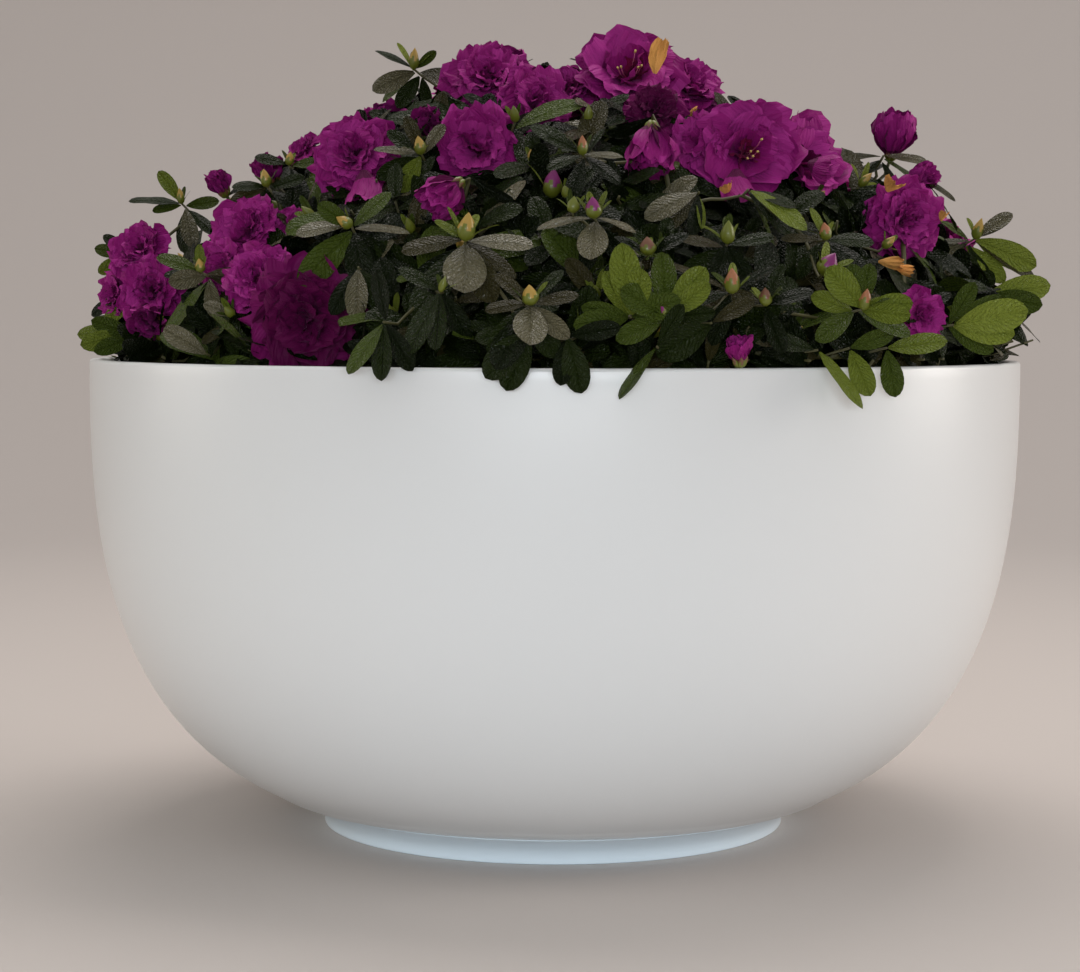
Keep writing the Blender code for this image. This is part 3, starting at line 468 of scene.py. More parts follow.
def bent_line(start, leave, end, arrive, steps, wander=0.0, rng=None):
    """A smooth line that leaves one way and arrives another, with a slight wander."""
    reach = (end - start).length
    a, b = leave.normalized() * reach, arrive.normalized() * reach
    line = []
    for k in range(steps + 1):
        t = k / steps
        point = start * (2 * t**3 - 3 * t**2 + 1) + a * (t**3 - 2 * t**2 + t)
        point = point + end * (3 * t**2 - 2 * t**3) + b * (t**3 - t**2)
        if rng and 0 < k < steps:
            point += nudge(rng, wander)
        line.append(point)
    return line


def taper(thick, thin, count):
    return [thick + (thin - thick) * k / (count - 1) for k in range(count)]


def finer(line, radii, parts):
    """The same line through smooth curves, with its radii, at more points."""
    points, widths = [], []
    for k in range(len(line) - 1):
        a, b = line[k], line[k + 1]
        before, after = line[max(k - 1, 0)], line[min(k + 2, len(line) - 1)]
        for t in (j / parts for j in range(parts)):
            bend = 2 * a + (b - before) * t + (2 * before - 5 * a + 4 * b - after) * t**2
            points.append(0.5 * (bend + (3 * a - before - 3 * b + after) * t**3))
            widths.append(radii[k] + (radii[k + 1] - radii[k]) * t)
    return points + [line[-1]], widths + [radii[-1]]


class Tubes:
    """Many tapering tubes with closed ends, gathered into one mesh."""

    def __init__(self, sides):
        self.sides = sides
        self.points = []
        self.quads = []
        self.slots = []

    def add(self, line, radii, slot=0, relief=0.0):
        across = (line[1] - line[0]).orthogonal().normalized()
        rows = [(line[0], radii[0] * 0.05), *zip(line, radii), (line[-1], radii[-1] * 0.05)]
        quads = grid_quads(len(rows), self.sides, closed=True)
        self.quads.append(quads + len(self.points))
        self.slots += [slot] * len(quads)
        last = len(line) - 1
        for k, (point, radius) in enumerate(rows):
            at = min(max(k - 1, 0), last)
            along = (line[min(at + 1, last)] - line[max(at - 1, 0)]).normalized()
            across = (across - along * across.dot(along)).normalized()
            other = along.cross(across)
            for _, c, s in spokes(self.sides):
                reach = radius
                if relief:
                    ridge = Vector((c * 2.2, s * 2.2, k * 0.22))
                    reach *= 1 + relief * noise.noise(ridge + line[0] * 40)
                    reach *= 1 + relief * 0.6 * abs(noise.noise(ridge * 2.7 + line[0] * 90))
                self.points.append(point + (across * c + other * s) * reach)

    def make(self, name, nodes, slot, surfaces):
        quads = np.concatenate(self.quads)
        mesh_of(name, nodes, slot, surfaces, self.points, quads, self.slots)


def trunk_radius(share, angle):
    flare = ROOT_FLARE * (1 - share) ** FLARE_FALL
    lobe = 1 + flare * (1 + LOBE_DEPTH * math.cos(ROOT_LOBES * angle))
    return (TRUNK_RADIUS + (TRUNK_TIP_RADIUS - TRUNK_RADIUS) * share) * lobe


def trunk_middle(share):
    lean = TRUNK_LEAN * share
    return Vector((lean.x, lean.y, SOIL_TOP + SOIL_CROWN + GAP + TRUNK_HEIGHT * share))


def trunk_reach(share, out):
    middle = trunk_middle(share)
    angle = math.atan2(out.y, out.x)
    spread = FORK_MARGIN * BOUGH_RADIUS / TRUNK_HEIGHT
    shares = (share - spread, share, share + spread)
    return max((trunk_middle(s) - middle).dot(out) + trunk_radius(s, angle) for s in shares)


def make_trunk():
    """The short stem with its flare and the relief of its bark, closed at both ends."""
    rows, sides = 30, 48
    points = []
    for i in range(-1, rows + 2):
        share = min(max(i / rows, 0), 1)
        shrink = 0.02 if i in (-1, rows + 1) else 1.0
        for angle, c, s in spokes(sides):
            grain = Vector((c * 2.5, s * 2.5, share * 1.6))
            bark = 1 + 0.07 * noise.noise(grain * 2) + 0.05 * abs(noise.noise(grain * 5))
            radius = trunk_radius(share, angle) * shrink * bark
            points.append(tuple(trunk_middle(share) + Vector((c, s, 0)) * radius))
    quads = grid_quads(rows + 3, sides, closed=True)
    mesh_of("trunk_bark", ["trunk"], "bark", ["bark"], points, quads)


def crown_height(x, y):
    across = (x - CROWN_MIDDLE.x) / CROWN_HALF_WIDTH
    deep = (y - CROWN_MIDDLE.y) / CROWN_HALF_DEPTH
    return CROWN_EDGE + CROWN_RISE * (1 - math.hypot(across, deep) ** CROWN_FALL)


def crown_normal(x, y):
    step = 0.01
    slope_x = (crown_height(x + step, y) - crown_height(x - step, y)) / (2 * step)
    slope_y = (crown_height(x, y + step) - crown_height(x, y - step)) / (2 * step)
    return Vector((-slope_x, -slope_y, 1)).normalized()


def mass_places():
    """The middle (x, y) of each mass by its name."""
    places = {"foliage_top": TOP_PLACE}
    for ring, count, middle, start, radius in (
        ("inner", INNER_MASSES, CROWN_MIDDLE, INNER_START, INNER_RADIUS),
        ("outer", OUTER_MASSES, Vector((0, 0)), OUTER_START, OUTER_RADIUS),
    ):
        for k in range(count):
            angle = start + math.tau * k / count
            spot = middle + Vector((math.cos(angle), math.sin(angle))) * radius
            places[f"foliage_{ring}_{k + 1}"] = spot
    return places


def hub_of(spot):
    inward = spot * HUB_INWARD
    top = crown_height(inward.x, inward.y)
    height = SOIL_TOP + (top - SOIL_TOP) * HUB_SHARE
    return Vector((inward.x, inward.y, max(height, BOWL_HEIGHT + HUB_OVER_RIM)))


class Limb:
    """A bough: its line, and its radius at each point."""

    def __init__(self, name, thick, wander, rng, start, leave, end, arrive):
        self.name = name
        self.line = bent_line(start, leave, end, arrive, BOUGH_STEPS, wander, rng)
        self.radii = taper(thick, BOUGH_TIP_RADIUS, BOUGH_STEPS + 1)

    def branch(self, name, share, hub, rng):
        """A bough that leaves this one's side towards a hub."""
        place = share * BOUGH_STEPS
        k = int(place)
        joint = self.line[k].lerp(self.line[k + 1], place - k)
        along = (self.line[k + 1] - self.line[k]).normalized()
        thick = self.radii[k] + (self.radii[k + 1] - self.radii[k]) * (place - k)
        towards = hub - joint
        out = (towards - along * towards.dot(along)).normalized()
        start = joint + out * (thick + GAP)
        end, arrive = start.lerp(hub, BRANCH_SHARE), (hub - start).normalized() + UP * BRANCH_CLIMB
        thick = min(SIDE_BOUGH_RADIUS, thick * 0.9)
        leave = out + along * BRANCH_LEAN
        return Limb(name, thick, WRIGGLE / 2, rng, start, leave, end, arrive)


def grow_boughs(places):
    """Every bough by the name of the mass that it carries, on the solids' own lines."""
    rng = random.Random(5)
    boughs = {}
    mains = [(2 * k) % OUTER_MASSES for k in range(MAIN_BOUGHS)]
    sides = {mains[k]: 2 * k + 1 for k in range(OUTER_MASSES - MAIN_BOUGHS)}
    for order, k in enumerate(mains):
        mass = f"foliage_outer_{k + 1}"
        hub = hub_of(places[mass])
        out = Vector((hub.x, hub.y, 0)).normalized()
        share = FIRST_FORK + FORK_STEP * order
        start = trunk_middle(share) + out * (trunk_reach(share, out) + GAP)
        end = start.lerp(hub, BOUGH_SHARE) + UP * BOUGH_LIFT
        leave, arrive = (out + UP * climb for climb in BOUGH_CLIMB)
        name = f"bough_{order + 1}"
        main = Limb(name, BOUGH_RADIUS, WRIGGLE, rng, start, leave, end, arrive)
        boughs[mass] = main
        if k in sides:
            target = f"foliage_outer_{sides[k] + 1}"
            boughs[target] = main.branch("side_" + name, SIDE_START, hub_of(places[target]), rng)
        free = [t for t in places if t.startswith("foliage_inner") and t not in boughs]
        target = min(free, key=lambda t: (places[t] - hub.xy).length)
        boughs[target] = main.branch("climbing_" + name, RISE_START, hub_of(places[target]), rng)
    start = trunk_middle(1.0) + UP * GAP
    end = start.lerp(hub_of(places["foliage_top"]), BRANCH_SHARE)
    boughs["foliage_top"] = Limb("leader", BOUGH_RADIUS, WRIGGLE, rng, start, UP, end, UP)
    return boughs


def make_boughs(boughs):
    tubes = Tubes(16)
    for limb in boughs.values():
        tubes.add(*finer(limb.line, limb.radii, 7), relief=0.16)
    tubes.make("bough_bark", [limb.name for limb in boughs.values()], "bark", ["bark"])


# --- Leaves, petals and buds, as arrays --------------------------------------------------


def unit(v):
    return v / np.linalg.norm(v, axis=-1, keepdims=True)


def unpacked(rows):
    """The blades' roots and two of their ways as arrays, then each of their measures."""
    root, way, other, sizes, *_ = (np.array(column) for column in zip(*rows))
    return root, way, other, [sizes[:, k, None, None] for k in range(sizes.shape[1])]


def set_out(root, *parts):
    """Grids of points from the blades' roots: how far each lies along some axes."""
    points = root[:, None, None, :]
    for axis, reach in parts:
        points = points + axis[:, None, None, :] * reach[..., None]
    return points


def blade_places(u, v, off):
    return np.stack(np.broadcast_arrays(u / 2 + 0.5, v + 0 * off), axis=-1)


def tones_of(rows, names):
    return np.array([names.index(row[-1]) for row in rows])[:, None, None]


LEAF_LONG, LEAF_WIDE = 8, 4
LEAF_TRUE_WIDTH = 0.40  # a usual blade's width in lengths


def leaf_points(rows):
    """Points and (u, v) of many leaves, each a sheet that narrows to its stalk and tip."""
    root, along, face, (length, width, curl, fold, wave, twist) = unpacked(rows)
    along = unit(along)
    side = unit(np.cross(along, face))
    face = np.cross(side, along)
    v = 1 - (1 - np.linspace(0, 1, LEAF_LONG + 1)) ** 1.45
    u = np.linspace(-1, 1, LEAF_WIDE + 1)[None, None, :]
    outline = (v**0.84 * (1 - v) ** 0.56) / 0.396
    outline = np.maximum(outline, np.where(v < 0.5, 0.10, 0.03))
    v, outline = v[None, :, None], outline[None, :, None]
    bend = curl * v
    reach = length * np.sin(bend) / curl
    sink = -length * (1 - np.cos(bend)) / curl
    off = u * outline * width / 2
    turn = twist * v
    lift = np.abs(off) * fold - (off / width) ** 2 * width * fold * 1.1
    lift = lift + wave * length * np.sin(v * 9 + wave * 300) * u * outline
    across = off * np.cos(turn) - lift * np.sin(turn)
    rise = off * np.sin(turn) + lift * np.cos(turn)
    ahead, above = reach + rise * np.sin(bend), sink + rise * np.cos(bend)
    points = set_out(root, (along, ahead), (side, across), (face, above))
    return points, blade_places(u, v, off)


def leaf_slots(rows):
    return tones_of(rows, LEAF_NAMES) + np.zeros((1, LEAF_LONG, LEAF_WIDE))


PETAL_LONG, PETAL_WIDE = 6, 20


def petal_points(rows):
    """Points of many petals, which open out of the flower's tube and ruffle at the edge."""
    seat, axis, out, (length, width, low, high, cup, ruffle, crimp, phase) = unpacked(rows)
    axis = unit(axis)
    out = unit(out - axis * (out * axis).sum(1, keepdims=True))
    side = np.cross(axis, out)
    v = np.linspace(0, 1, PETAL_LONG + 1)[None, :, None] ** 0.85
    u = np.linspace(-1, 1, PETAL_WIDE + 1)[None, None, :]
    edge = 1 - 0.26 * np.abs(u) ** 3.2 - 0.05 * np.exp(-((u / 0.20) ** 2))
    edge = edge + 0.032 * np.sin(9.1 * u + phase * 2.1) + 0.030 * np.sin(15.3 * u + phase)
    swing = high - low
    theta = low + swing * (v * edge)
    ahead = length / swing * (np.cos(low) - np.cos(theta))
    height = length / swing * (np.sin(theta) - np.sin(low))
    half = width / 2 * (0.18 + 0.82 * np.sin(math.pi * 0.64 * v**0.95))
    off = u * half
    lift = cup * off**2 / (half + 1e-5)
    waves = 0.8 * np.sin(4.2 * u + phase) + 0.7 * np.sin(8.7 * u + phase * 1.7 + 2 * v)
    lift = lift + ruffle * length * v**1.7 * waves
    fine = np.sin(16.5 * u + phase * 3.1 + 4 * v) + 0.7 * np.sin(21.0 * u - phase)
    lift = lift + crimp * length * v**3 * fine
    lift = lift + crimp * length * 1.6 * np.abs(u) ** 3 * np.sin(15 * v + phase * 2.3) * v
    lift = lift + 0.026 * length * np.sin(11 * v + phase + 4.0 * u) * v
    ahead, height = ahead - np.cos(theta) * lift, height + np.sin(theta) * lift
    points = set_out(seat, (out, ahead), (side, off), (axis, height))
    return points, blade_places(u, v, off)


def petal_slots(rows):
    """Each petal's tone, with a deeper foot, which is painted shade over the throat's own darker colour,
    and, on some, a lighter edge, which is painted highlight on the thin rim.
    """
    usual, light, deep = (PETAL_NAMES.index("petal" + end) for end in ("", "_light", "_deep"))
    tones = tones_of(rows, PETAL_NAMES)
    phase = np.array([row[3][-1] for row in rows])[:, None, None]
    row = np.arange(PETAL_LONG)[None, :, None]
    column = np.arange(PETAL_WIDE)[None, None, :]
    # painted highlight: a lighter last row on some petals stands for light on their thin rims
    pale = (np.sin(phase * 5 + column * 0.4) > 0.2) & (row == PETAL_LONG - 1)
    slots = np.where((tones == usual) & pale, light, tones + 0 * row + 0 * column)
    # painted shade: the first row at a petal's foot takes the deep tone, over the throat's own darker
    # colour
    return np.where((tones == usual) & (row < 1), deep, slots)


BUD_RINGS, BUD_SIDES = 10, 12
BUD_TURN = 4  # the ring above which a bud takes the tone of its tip


def bud_points(rows):
    """Points of many buds: plump low down, pointed at the tip, with overlapping scales."""
    seat, axis, _, (length, width, phase) = unpacked(rows)
    axis = unit(axis)
    helper = np.where(np.abs(axis[:, 2:]) < 0.9, [[0, 0, 1.0]], [[1.0, 0, 0]])
    across = unit(np.cross(axis, helper))
    t = np.linspace(0, 1, BUD_RINGS)[None, :, None]
    angle = np.arange(BUD_SIDES)[None, None, :] * math.tau / BUD_SIDES
    radius = width / 2 * (np.sin(math.pi * t**0.72) ** 0.9 + 0.03)
    radius = radius * (1 + 0.16 * np.abs(np.sin(1.5 * angle + phase + 5 * t)) - 0.08)
    height = length * t - length * 0.08 + 0 * angle
    ahead, aside = radius * np.cos(angle), radius * np.sin(angle)
    points = set_out(seat, (across, ahead), (np.cross(axis, across), aside), (axis, height))
    return points, None


def bud_slots(rows):
    """Each bud's tone over its green foot."""
    ring = np.arange(BUD_RINGS - 1)[None, :, None]
    edge = BUD_TURN + np.arange(BUD_SIDES)[None, None, :] % 3
    return np.where(ring < edge, BUD_NAMES.index("bud_green"), tones_of(rows, BUD_NAMES))


# --- Growing the crown -------------------------------------------------------------------


def turned_about(vector, axis, angle):
    return Matrix.Rotation(angle, 3, axis) @ vector


def raised(out, facing, rise):
    """The way of a blade that rises from out towards facing, and the way that it faces."""
    c, s = math.cos(rise), math.sin(rise)
    return out * c + facing * s, facing * c - out * s


def cuts_bowl(points, margin, listed):
    """Whether a blade through the points meets the bowl's wall, or hangs out past it."""
    for point in points:
        r = math.hypot(point.x, point.y)
        over = point.z - BOWL_HEIGHT
        if r + margin * 0.6 < BOWL_RADIUS - BOWL_WALL:
            continue
        if listed and (over > RIM_SKIM or r - margin * 0.3 > BOWL_RADIUS + 0.002):
            continue
        if listed or over < WALL_CLEAR or r > BOWL_RADIUS - RIM_SHY + 0.5 * over:
            return True
    return False


def crowded(point, taken):
    return any((point - other).length < reach for other, reach in taken)


class Group:
    """The leaves, petals, buds and twigs of some neighbouring masses."""

    def __init__(self, name, nodes):
        self.name, self.nodes = name, nodes
        self.leaves, self.petals, self.buds = [], [], []
        self.twigs, self.threads = Tubes(6), Tubes(5)

    def make(self):
        """Joins each kind into a piece of its own."""
        where = (self.nodes, "foliage")
        for kind, rows, names, points_of, slots_of, grid in (
            ("leaves", self.leaves, LEAF_NAMES, leaf_points, leaf_slots,
             (LEAF_LONG + 1, LEAF_WIDE + 1, False)),
            ("blossom", self.petals, PETAL_NAMES, petal_points, petal_slots,
             (PETAL_LONG + 1, PETAL_WIDE + 1, False)),
            ("buds", self.buds, BUD_NAMES, bud_points, bud_slots, (BUD_RINGS, BUD_SIDES, True)),
        ):
            points, blades = points_of(rows)
            quads, slots = grid_quads(*grid, len(rows)), slots_of(rows).ravel()
            mesh_of(f"{kind}_{self.name}", *where, names, points, quads, slots, blades)
        self.twigs.make("twigs_" + self.name, *where, ["twig_brown", "twig_green"])
        if self.threads.points:
            self.threads.make("stamens_" + self.name, *where, ["stamen", "anther"])


FORK_AHEAD = 0.016  # how far a twig's fork lies behind its tip, at least
WOOD_COST = 0.35  # of the wood up to a fork, against the twig's own
WALL_CLEAR = 0.004
TWIG_SWAY = 0.0012
TWIG_RADIUS, SHOW_TWIG_RADIUS, BLOOM_TWIG_RADIUS = 0.0012, 0.0018, 0.0014
CURLS, FOLDS = (0.15, 0.75), (0.12, 0.42)
WIDTHS = (0.36, 0.47)  # in leaf lengths
SHOW_CURLS, SHOW_FOLDS = (0.12, 0.40), (0.08, 0.25)
OPEN_CUPS, CLOSED_CUPS = (0.05, 0.40), (0.45, 0.65)
NEWEST_RISE, RISE_FALL = 50, 56  # degrees over the flat, along a rosette
NEWEST_SIZE = 0.62
LEAF_PITCH = 0.0021  # between the feet of a rosette's leaves
LEAF_TRIES, TURN_BACK_TRY = 6, 4
LEAF_SAMPLES = (0.35, 0.65, 1.0)
BLOOM_LEAVES, SHOOT_LEAVES = (0.026, 0.036), (0.031, 0.052)
PROUD_OF_MOUND = -0.004
MOUND_EDGE = 0.05
HANGING_FROM = BOWL_HEIGHT + 0.028  # listed sprigs below this hang nearly flat
DARK_TONES = ("leaf_dark", "leaf_dark", "leaf_deep", "leaf_deep", "leaf_bronze")
# One of these tones is painted sheen: a pale colour that stands for the gloss of leaves catching the
# lamps.
MIXED_TONES = (
    "leaf_dark", "leaf_deep", "leaf_deep", "leaf_green", "leaf_green", "leaf_bronze",
    "leaf_silver",
)
FILL_TONES = ("leaf_dark", "leaf_dark", "leaf_deep")
NEW_TONES = ("leaf_young", "leaf_lime", "leaf_green")


def clock_way(clock, front):
    """A direction from degrees round the front view's clock and degrees towards it."""
    a, e = math.radians(clock), math.radians(front)
    return Vector((math.cos(a) * math.cos(e), -math.sin(e), math.sin(a) * math.cos(e)))


class Mass:
    """One mass: the places from which its twigs leave, and the group it is drawn with."""

    def __init__(self, bough, hub, group, clear, seed):
        self.group, self.clear = group, clear
        self.rng = random.Random(seed)
        self.forks = []
        tip, along = bough.line[-1], (bough.line[-1] - bough.line[-2]).normalized()
        line = bent_line(tip, along, hub, hub - tip + UP * 0.02, 5)
        group.twigs.add(line, taper(0.0030, 0.0022, len(line)), 0)
        self.note_forks(line, 0.0)

    def note_forks(self, line, travelled):
        for k in range(2, len(line)):
            step = line[k] - line[k - 1]
            travelled += step.length
            self.forks.append((line[k], step.normalized(), travelled))

    def twig_to(self, tip, facing, thick=TWIG_RADIUS):
        """Grows a twig to the tip from the fork that reaches it with least wood."""
        ahead = [f for f in self.forks if (tip - f[0]).dot(facing) > FORK_AHEAD] or self.forks
        start, along, travelled = min(
            ahead, key=lambda f: (tip - f[0]).length + WOOD_COST * f[2]
        )
        leave = along + (tip - start).normalized() * 1.4
        line = bent_line(start, leave, tip, facing, 6, TWIG_SWAY, self.rng)
        for point in line:
            out = math.hypot(point.x, point.y) / (BOWL_RADIUS - BOWL_WALL - WALL_CLEAR)
            if out > 1:
                point.z = max(point.z, BOWL_HEIGHT + WALL_CLEAR)
                if point is not line[-1]:
                    point.x, point.y = point.x / out, point.y / out
        self.group.twigs.add(line, taper(thick, thick * 0.6, len(line)), 1)
        self.note_forks(line[:-1], travelled)
        return line

    def leaf(self, root, along, face, length, width, tone, curl=None, fold=None, listed=False):
        """One leaf, unless it leaves the part's box, cuts the bowl's wall or hides a bloom."""
        rng = self.rng
        curl = curl or rng.uniform(*CURLS)
        fold = fold or rng.uniform(*FOLDS)
        wave, twist = rng.uniform(0.0, 0.018), rng.uniform(-0.35, 0.35)
        along = along.normalized()
        for attempt in range(LEAF_TRIES):
            if attempt == TURN_BACK_TRY:
                along = Vector((-along.x, -along.y, along.z)).normalized()
            face = (face - along * face.dot(along)).normalized()
            middle = []
            for bend in (curl * v for v in LEAF_SAMPLES):
                ahead = root + along * (length * math.sin(bend) / curl)
                middle.append(ahead - face * (length * (1 - math.cos(bend)) / curl))
            if not cuts_bowl(middle, width * 0.5, listed):
                break
            inwards = Vector((-root.x, -root.y, 0)).normalized() * 0.08
            along = (along + UP * 0.28 + inwards).normalized()
        else:
            return
        tip = middle[-1]
        if not all(LIMIT_LOW[k] < tip[k] < LIMIT_HIGH[k] for k in range(3)):
            return
        if not listed:
            over_mound = tip.z - crown_height(tip.x, tip.y)
            if over_mound > PROUD_OF_MOUND and tip.z > BOWL_HEIGHT + MOUND_EDGE:
                return
            if any(crowded(point, self.clear) for point in middle):
                return
        measures = (length, width, curl, fold, wave, twist)
        self.group.leaves.append((root, along, face, measures, tone))

    def rosette(self, line, facing, count, sizes, tones):
        """Leaves round a shoot's end: the newest steep and small, the oldest flat and low."""
        rng = self.rng
        facing = facing.normalized()
        across = facing.orthogonal().normalized()
        turn = rng.uniform(0, math.tau)
        for k in range(count):
            share = k / max(count - 1, 1)
            root = line[-1] - facing * (0.001 + LEAF_PITCH * k)
            out = turned_about(across, facing, turn + k * GOLDEN_ANGLE)
            rise = math.radians(NEWEST_RISE - RISE_FALL * share + rng.uniform(-10, 10))
            along, face = raised(out, facing, rise)
            length = rng.uniform(*sizes) * (NEWEST_SIZE + (1 - NEWEST_SIZE) * share**0.5)
            width = length * rng.uniform(*WIDTHS)
            self.leaf(root, along + UP * (-0.10 * share), face, length, width, rng.choice(tones))

    def show_sprig(self, tip, bud, leaves):
        """A sprig with listed leaves, each turned with its face to the sky and the front."""
        line = self.twig_to(tip, (facing_at(tip) + Vector((0, -0.3, 0))).normalized())
        if bud:
            tone, length, width, clock = bud
            way = clock_way(clock, 15)
            self.flower_bud(tip, way, length / 1000, width / 1000, "bud_" + tone)
        for order, (clock, front, length, percent, tone) in enumerate(leaves):
            share = percent / 100
            along = clock_way(clock, front)
            front_on = (Vector((0, -1, 0)) - along * -along.y).normalized()
            over = along.cross(front_on)
            if over.z < 0 or (abs(over.z) < 0.2 and over.x * (tip.x - CROWN_MIDDLE.x) < 0):
                over = -over
            seen = min(share / LEAF_TRUE_WIDTH, 1.0)
            face = front_on * seen + over * math.sqrt(1 - seen**2)
            wide = length * max(share, LEAF_TRUE_WIDTH) / 1000
            down = (line[-1] - line[-2]).normalized() * 0.0010 * order
            root = line[-1] + along * 0.0015 - down
            curl = self.rng.uniform(*SHOW_CURLS) * (1.0 if tip.z > HANGING_FROM else 0.3)
            fold = self.rng.uniform(*SHOW_FOLDS)
            self.leaf(root, along, face, length / 1000, wide, "leaf_" + tone, curl, fold, True)

    def bud(self, seat, axis, length, width, tone):
        measures = (length, width, self.rng.uniform(0, math.tau))
        self.group.buds.append((seat, axis.normalized(), axis, measures, tone))

    def flower_bud(self, seat, axis, length, width, tone):
        """A scaly bud with its narrow young leaves standing round it."""
        rng = self.rng
        axis = axis.normalized()
        self.bud(seat, axis, length, width, tone)
        across = axis.orthogonal().normalized()
        turn = rng.uniform(0, math.tau)
        for k in range(5):
            out = turned_about(across, axis, turn + k * GOLDEN_ANGLE)
            along, face = raised(out, axis, math.radians(rng.uniform(48, 68)))
            size = length * rng.uniform(0.8, 1.35)
            tone = rng.choice(NEW_TONES)
            if along.y > -0.45:
                foot = seat + out * width * 0.2
                self.leaf(foot, along, face, size, size * 0.3, tone, listed=True)

    def bloom(self, middle, facing, diameter, style):
        """A bloom: rings of petals round one seat, wide open outside and upright within."""
        rng = self.rng
        facing = facing.normalized()
        radius = diameter / 2
        (_, depth, ruffle), *rings = BLOOM_STYLES[style]
        frill = ruffle / 100
        closed = style in ("half", "round", "bell")
        cups = CLOSED_CUPS if closed else OPEN_CUPS
        seat = middle - facing * radius * (depth / 100)
        across = turned_about(facing.orthogonal().normalized(), facing, rng.uniform(0, math.tau))
        for order, (count, size, low, high, tone) in enumerate(rings):
            loose = 0.14 + 0.06 * order
            for k in range(int(count)):
                angle = math.tau * (k + 0.5 * (order % 2)) / count + rng.uniform(-loose, loose)
                out = turned_about(across, facing, angle)
                tilt = turned_about(facing, out.cross(facing), rng.uniform(-loose, loose))
                length = radius * (size / 100) * rng.uniform(0.92, 1.10)
                measures = (
                    length, length * rng.uniform(1.10, 1.35) * (0.78 if closed else 1.0),
                    math.radians(low + rng.uniform(-4, 4)),
                    math.radians(high + rng.uniform(-14, 14)),
                    rng.uniform(*cups), rng.uniform(0.05, 0.10) * frill,
                    rng.uniform(0.026, 0.050) * frill, rng.uniform(0, math.tau),
                )
                self.group.petals.append((seat, tilt, out, measures, tone))
        for k in range(5):
            out = turned_about(across, facing, math.tau * k / 5)
            foot = seat - facing * 0.002 + out * 0.001
            self.bud(foot, out * 0.5 + facing, 0.009, 0.0036, "bud_brown")
        return seat

    def flowering_shoot(self, middle, facing, diameter, style, thick):
        """A twig that ends in a bloom, with a few dark leaves under it."""
        seat = self.bloom(middle, facing, diameter, style)
        line = self.twig_to(seat, facing, thick)
        self.rosette(line, facing, 4, BLOOM_LEAVES, DARK_TONES)
        if style == "open":
            self.stamens(seat, facing, diameter * 0.46)

    def loose_petal(self, place, way, length, width, tone):
        """One limp petal."""
        rng = self.rng
        out = Vector((rng.uniform(-0.4, 0.4), -1, 0))
        measures = (length, width, 0.2, 1.0, 0.5, 0.05, 0.02, rng.uniform(0, math.tau))
        self.group.petals.append((place, way.normalized(), out, measures, tone))

    def stamens(self, seat, facing, reach):
        rng = self.rng
        for _ in range(5):
            way = (facing + nudge(rng, 0.28)).normalized()
            end = seat + way * reach * rng.uniform(0.8, 1.05)
            line = bent_line(seat, facing, end, way + UP * 0.5, 5)
            self.group.threads.add(line, taper(0.0005, 0.0003, len(line)), 0)
            top = [line[-1], line[-1] + way * 0.0018]
            self.group.threads.add(top, [0.0008, 0.0007], 1)


# The tables below are read by rows_of. Places and sizes are in mm, ways and shares are in
# hundredths, and angles are in degrees.


def rows_of(table):
    """A table's rows as cells of numbers and words. An indented line carries on its row."""
    rows = []
    for line in table.strip().replace("\n ", " ").split("\n"):
        cells = [cell.split() for cell in line.split(",")]
        rows.append([[w if w[0].isalpha() else float(w) for w in cell] for cell in cells])
    return rows


# A bloom's style: its name, the depth of its seat in radii and how far its petals ruffle;
# then its rings of petals from the outermost in: how many, their length in radii, the
# angles from the bloom's axis at which they leave the tube and end, and their tone.
# The dark style is painted shade: darker petal tones for blooms that lie in shade. Innermost rings in the
# deep tone paint the shade in a bloom's heart, over the throat's own darker colour.
STYLES = """
double 50 100, 5 118 40 116 petal, 5 102 28 90 petal_light, 5 84 16 62 petal, 4 66 4 38 petal
full 48 100, 6 114 44 120 petal, 6 104 34 98 petal, 6 94 24 78 petal_light, 6 82 14 58 petal,
 5 70 4 42 petal, 3 56 -6 26 petal_deep
dark 48 125, 6 114 44 120 petal_dusk, 7 102 34 96 petal_deep, 7 88 24 74 petal_deep,
 6 74 14 52 petal_deep, 5 60 4 32 petal_deep
open 60 70, 5 120 26 100 petal, 5 106 22 78 petal_light, 3 88 14 52 petal, 3 66 6 28 petal_throat
side 95 50, 5 145 10 92 petal, 4 120 6 52 petal_light, 2 95 4 20 petal_deep
half 90 35, 4 185 16 14 petal, 4 165 12 4 petal_light, 3 135 8 -2 petal_deep
bell 90 40, 5 190 40 -4 petal, 4 172 26 0 petal, 3 150 12 0 petal_deep
round 90 45, 6 190 48 -20 petal, 5 172 36 -16 petal, 4 145 20 -8 petal_deep
"""

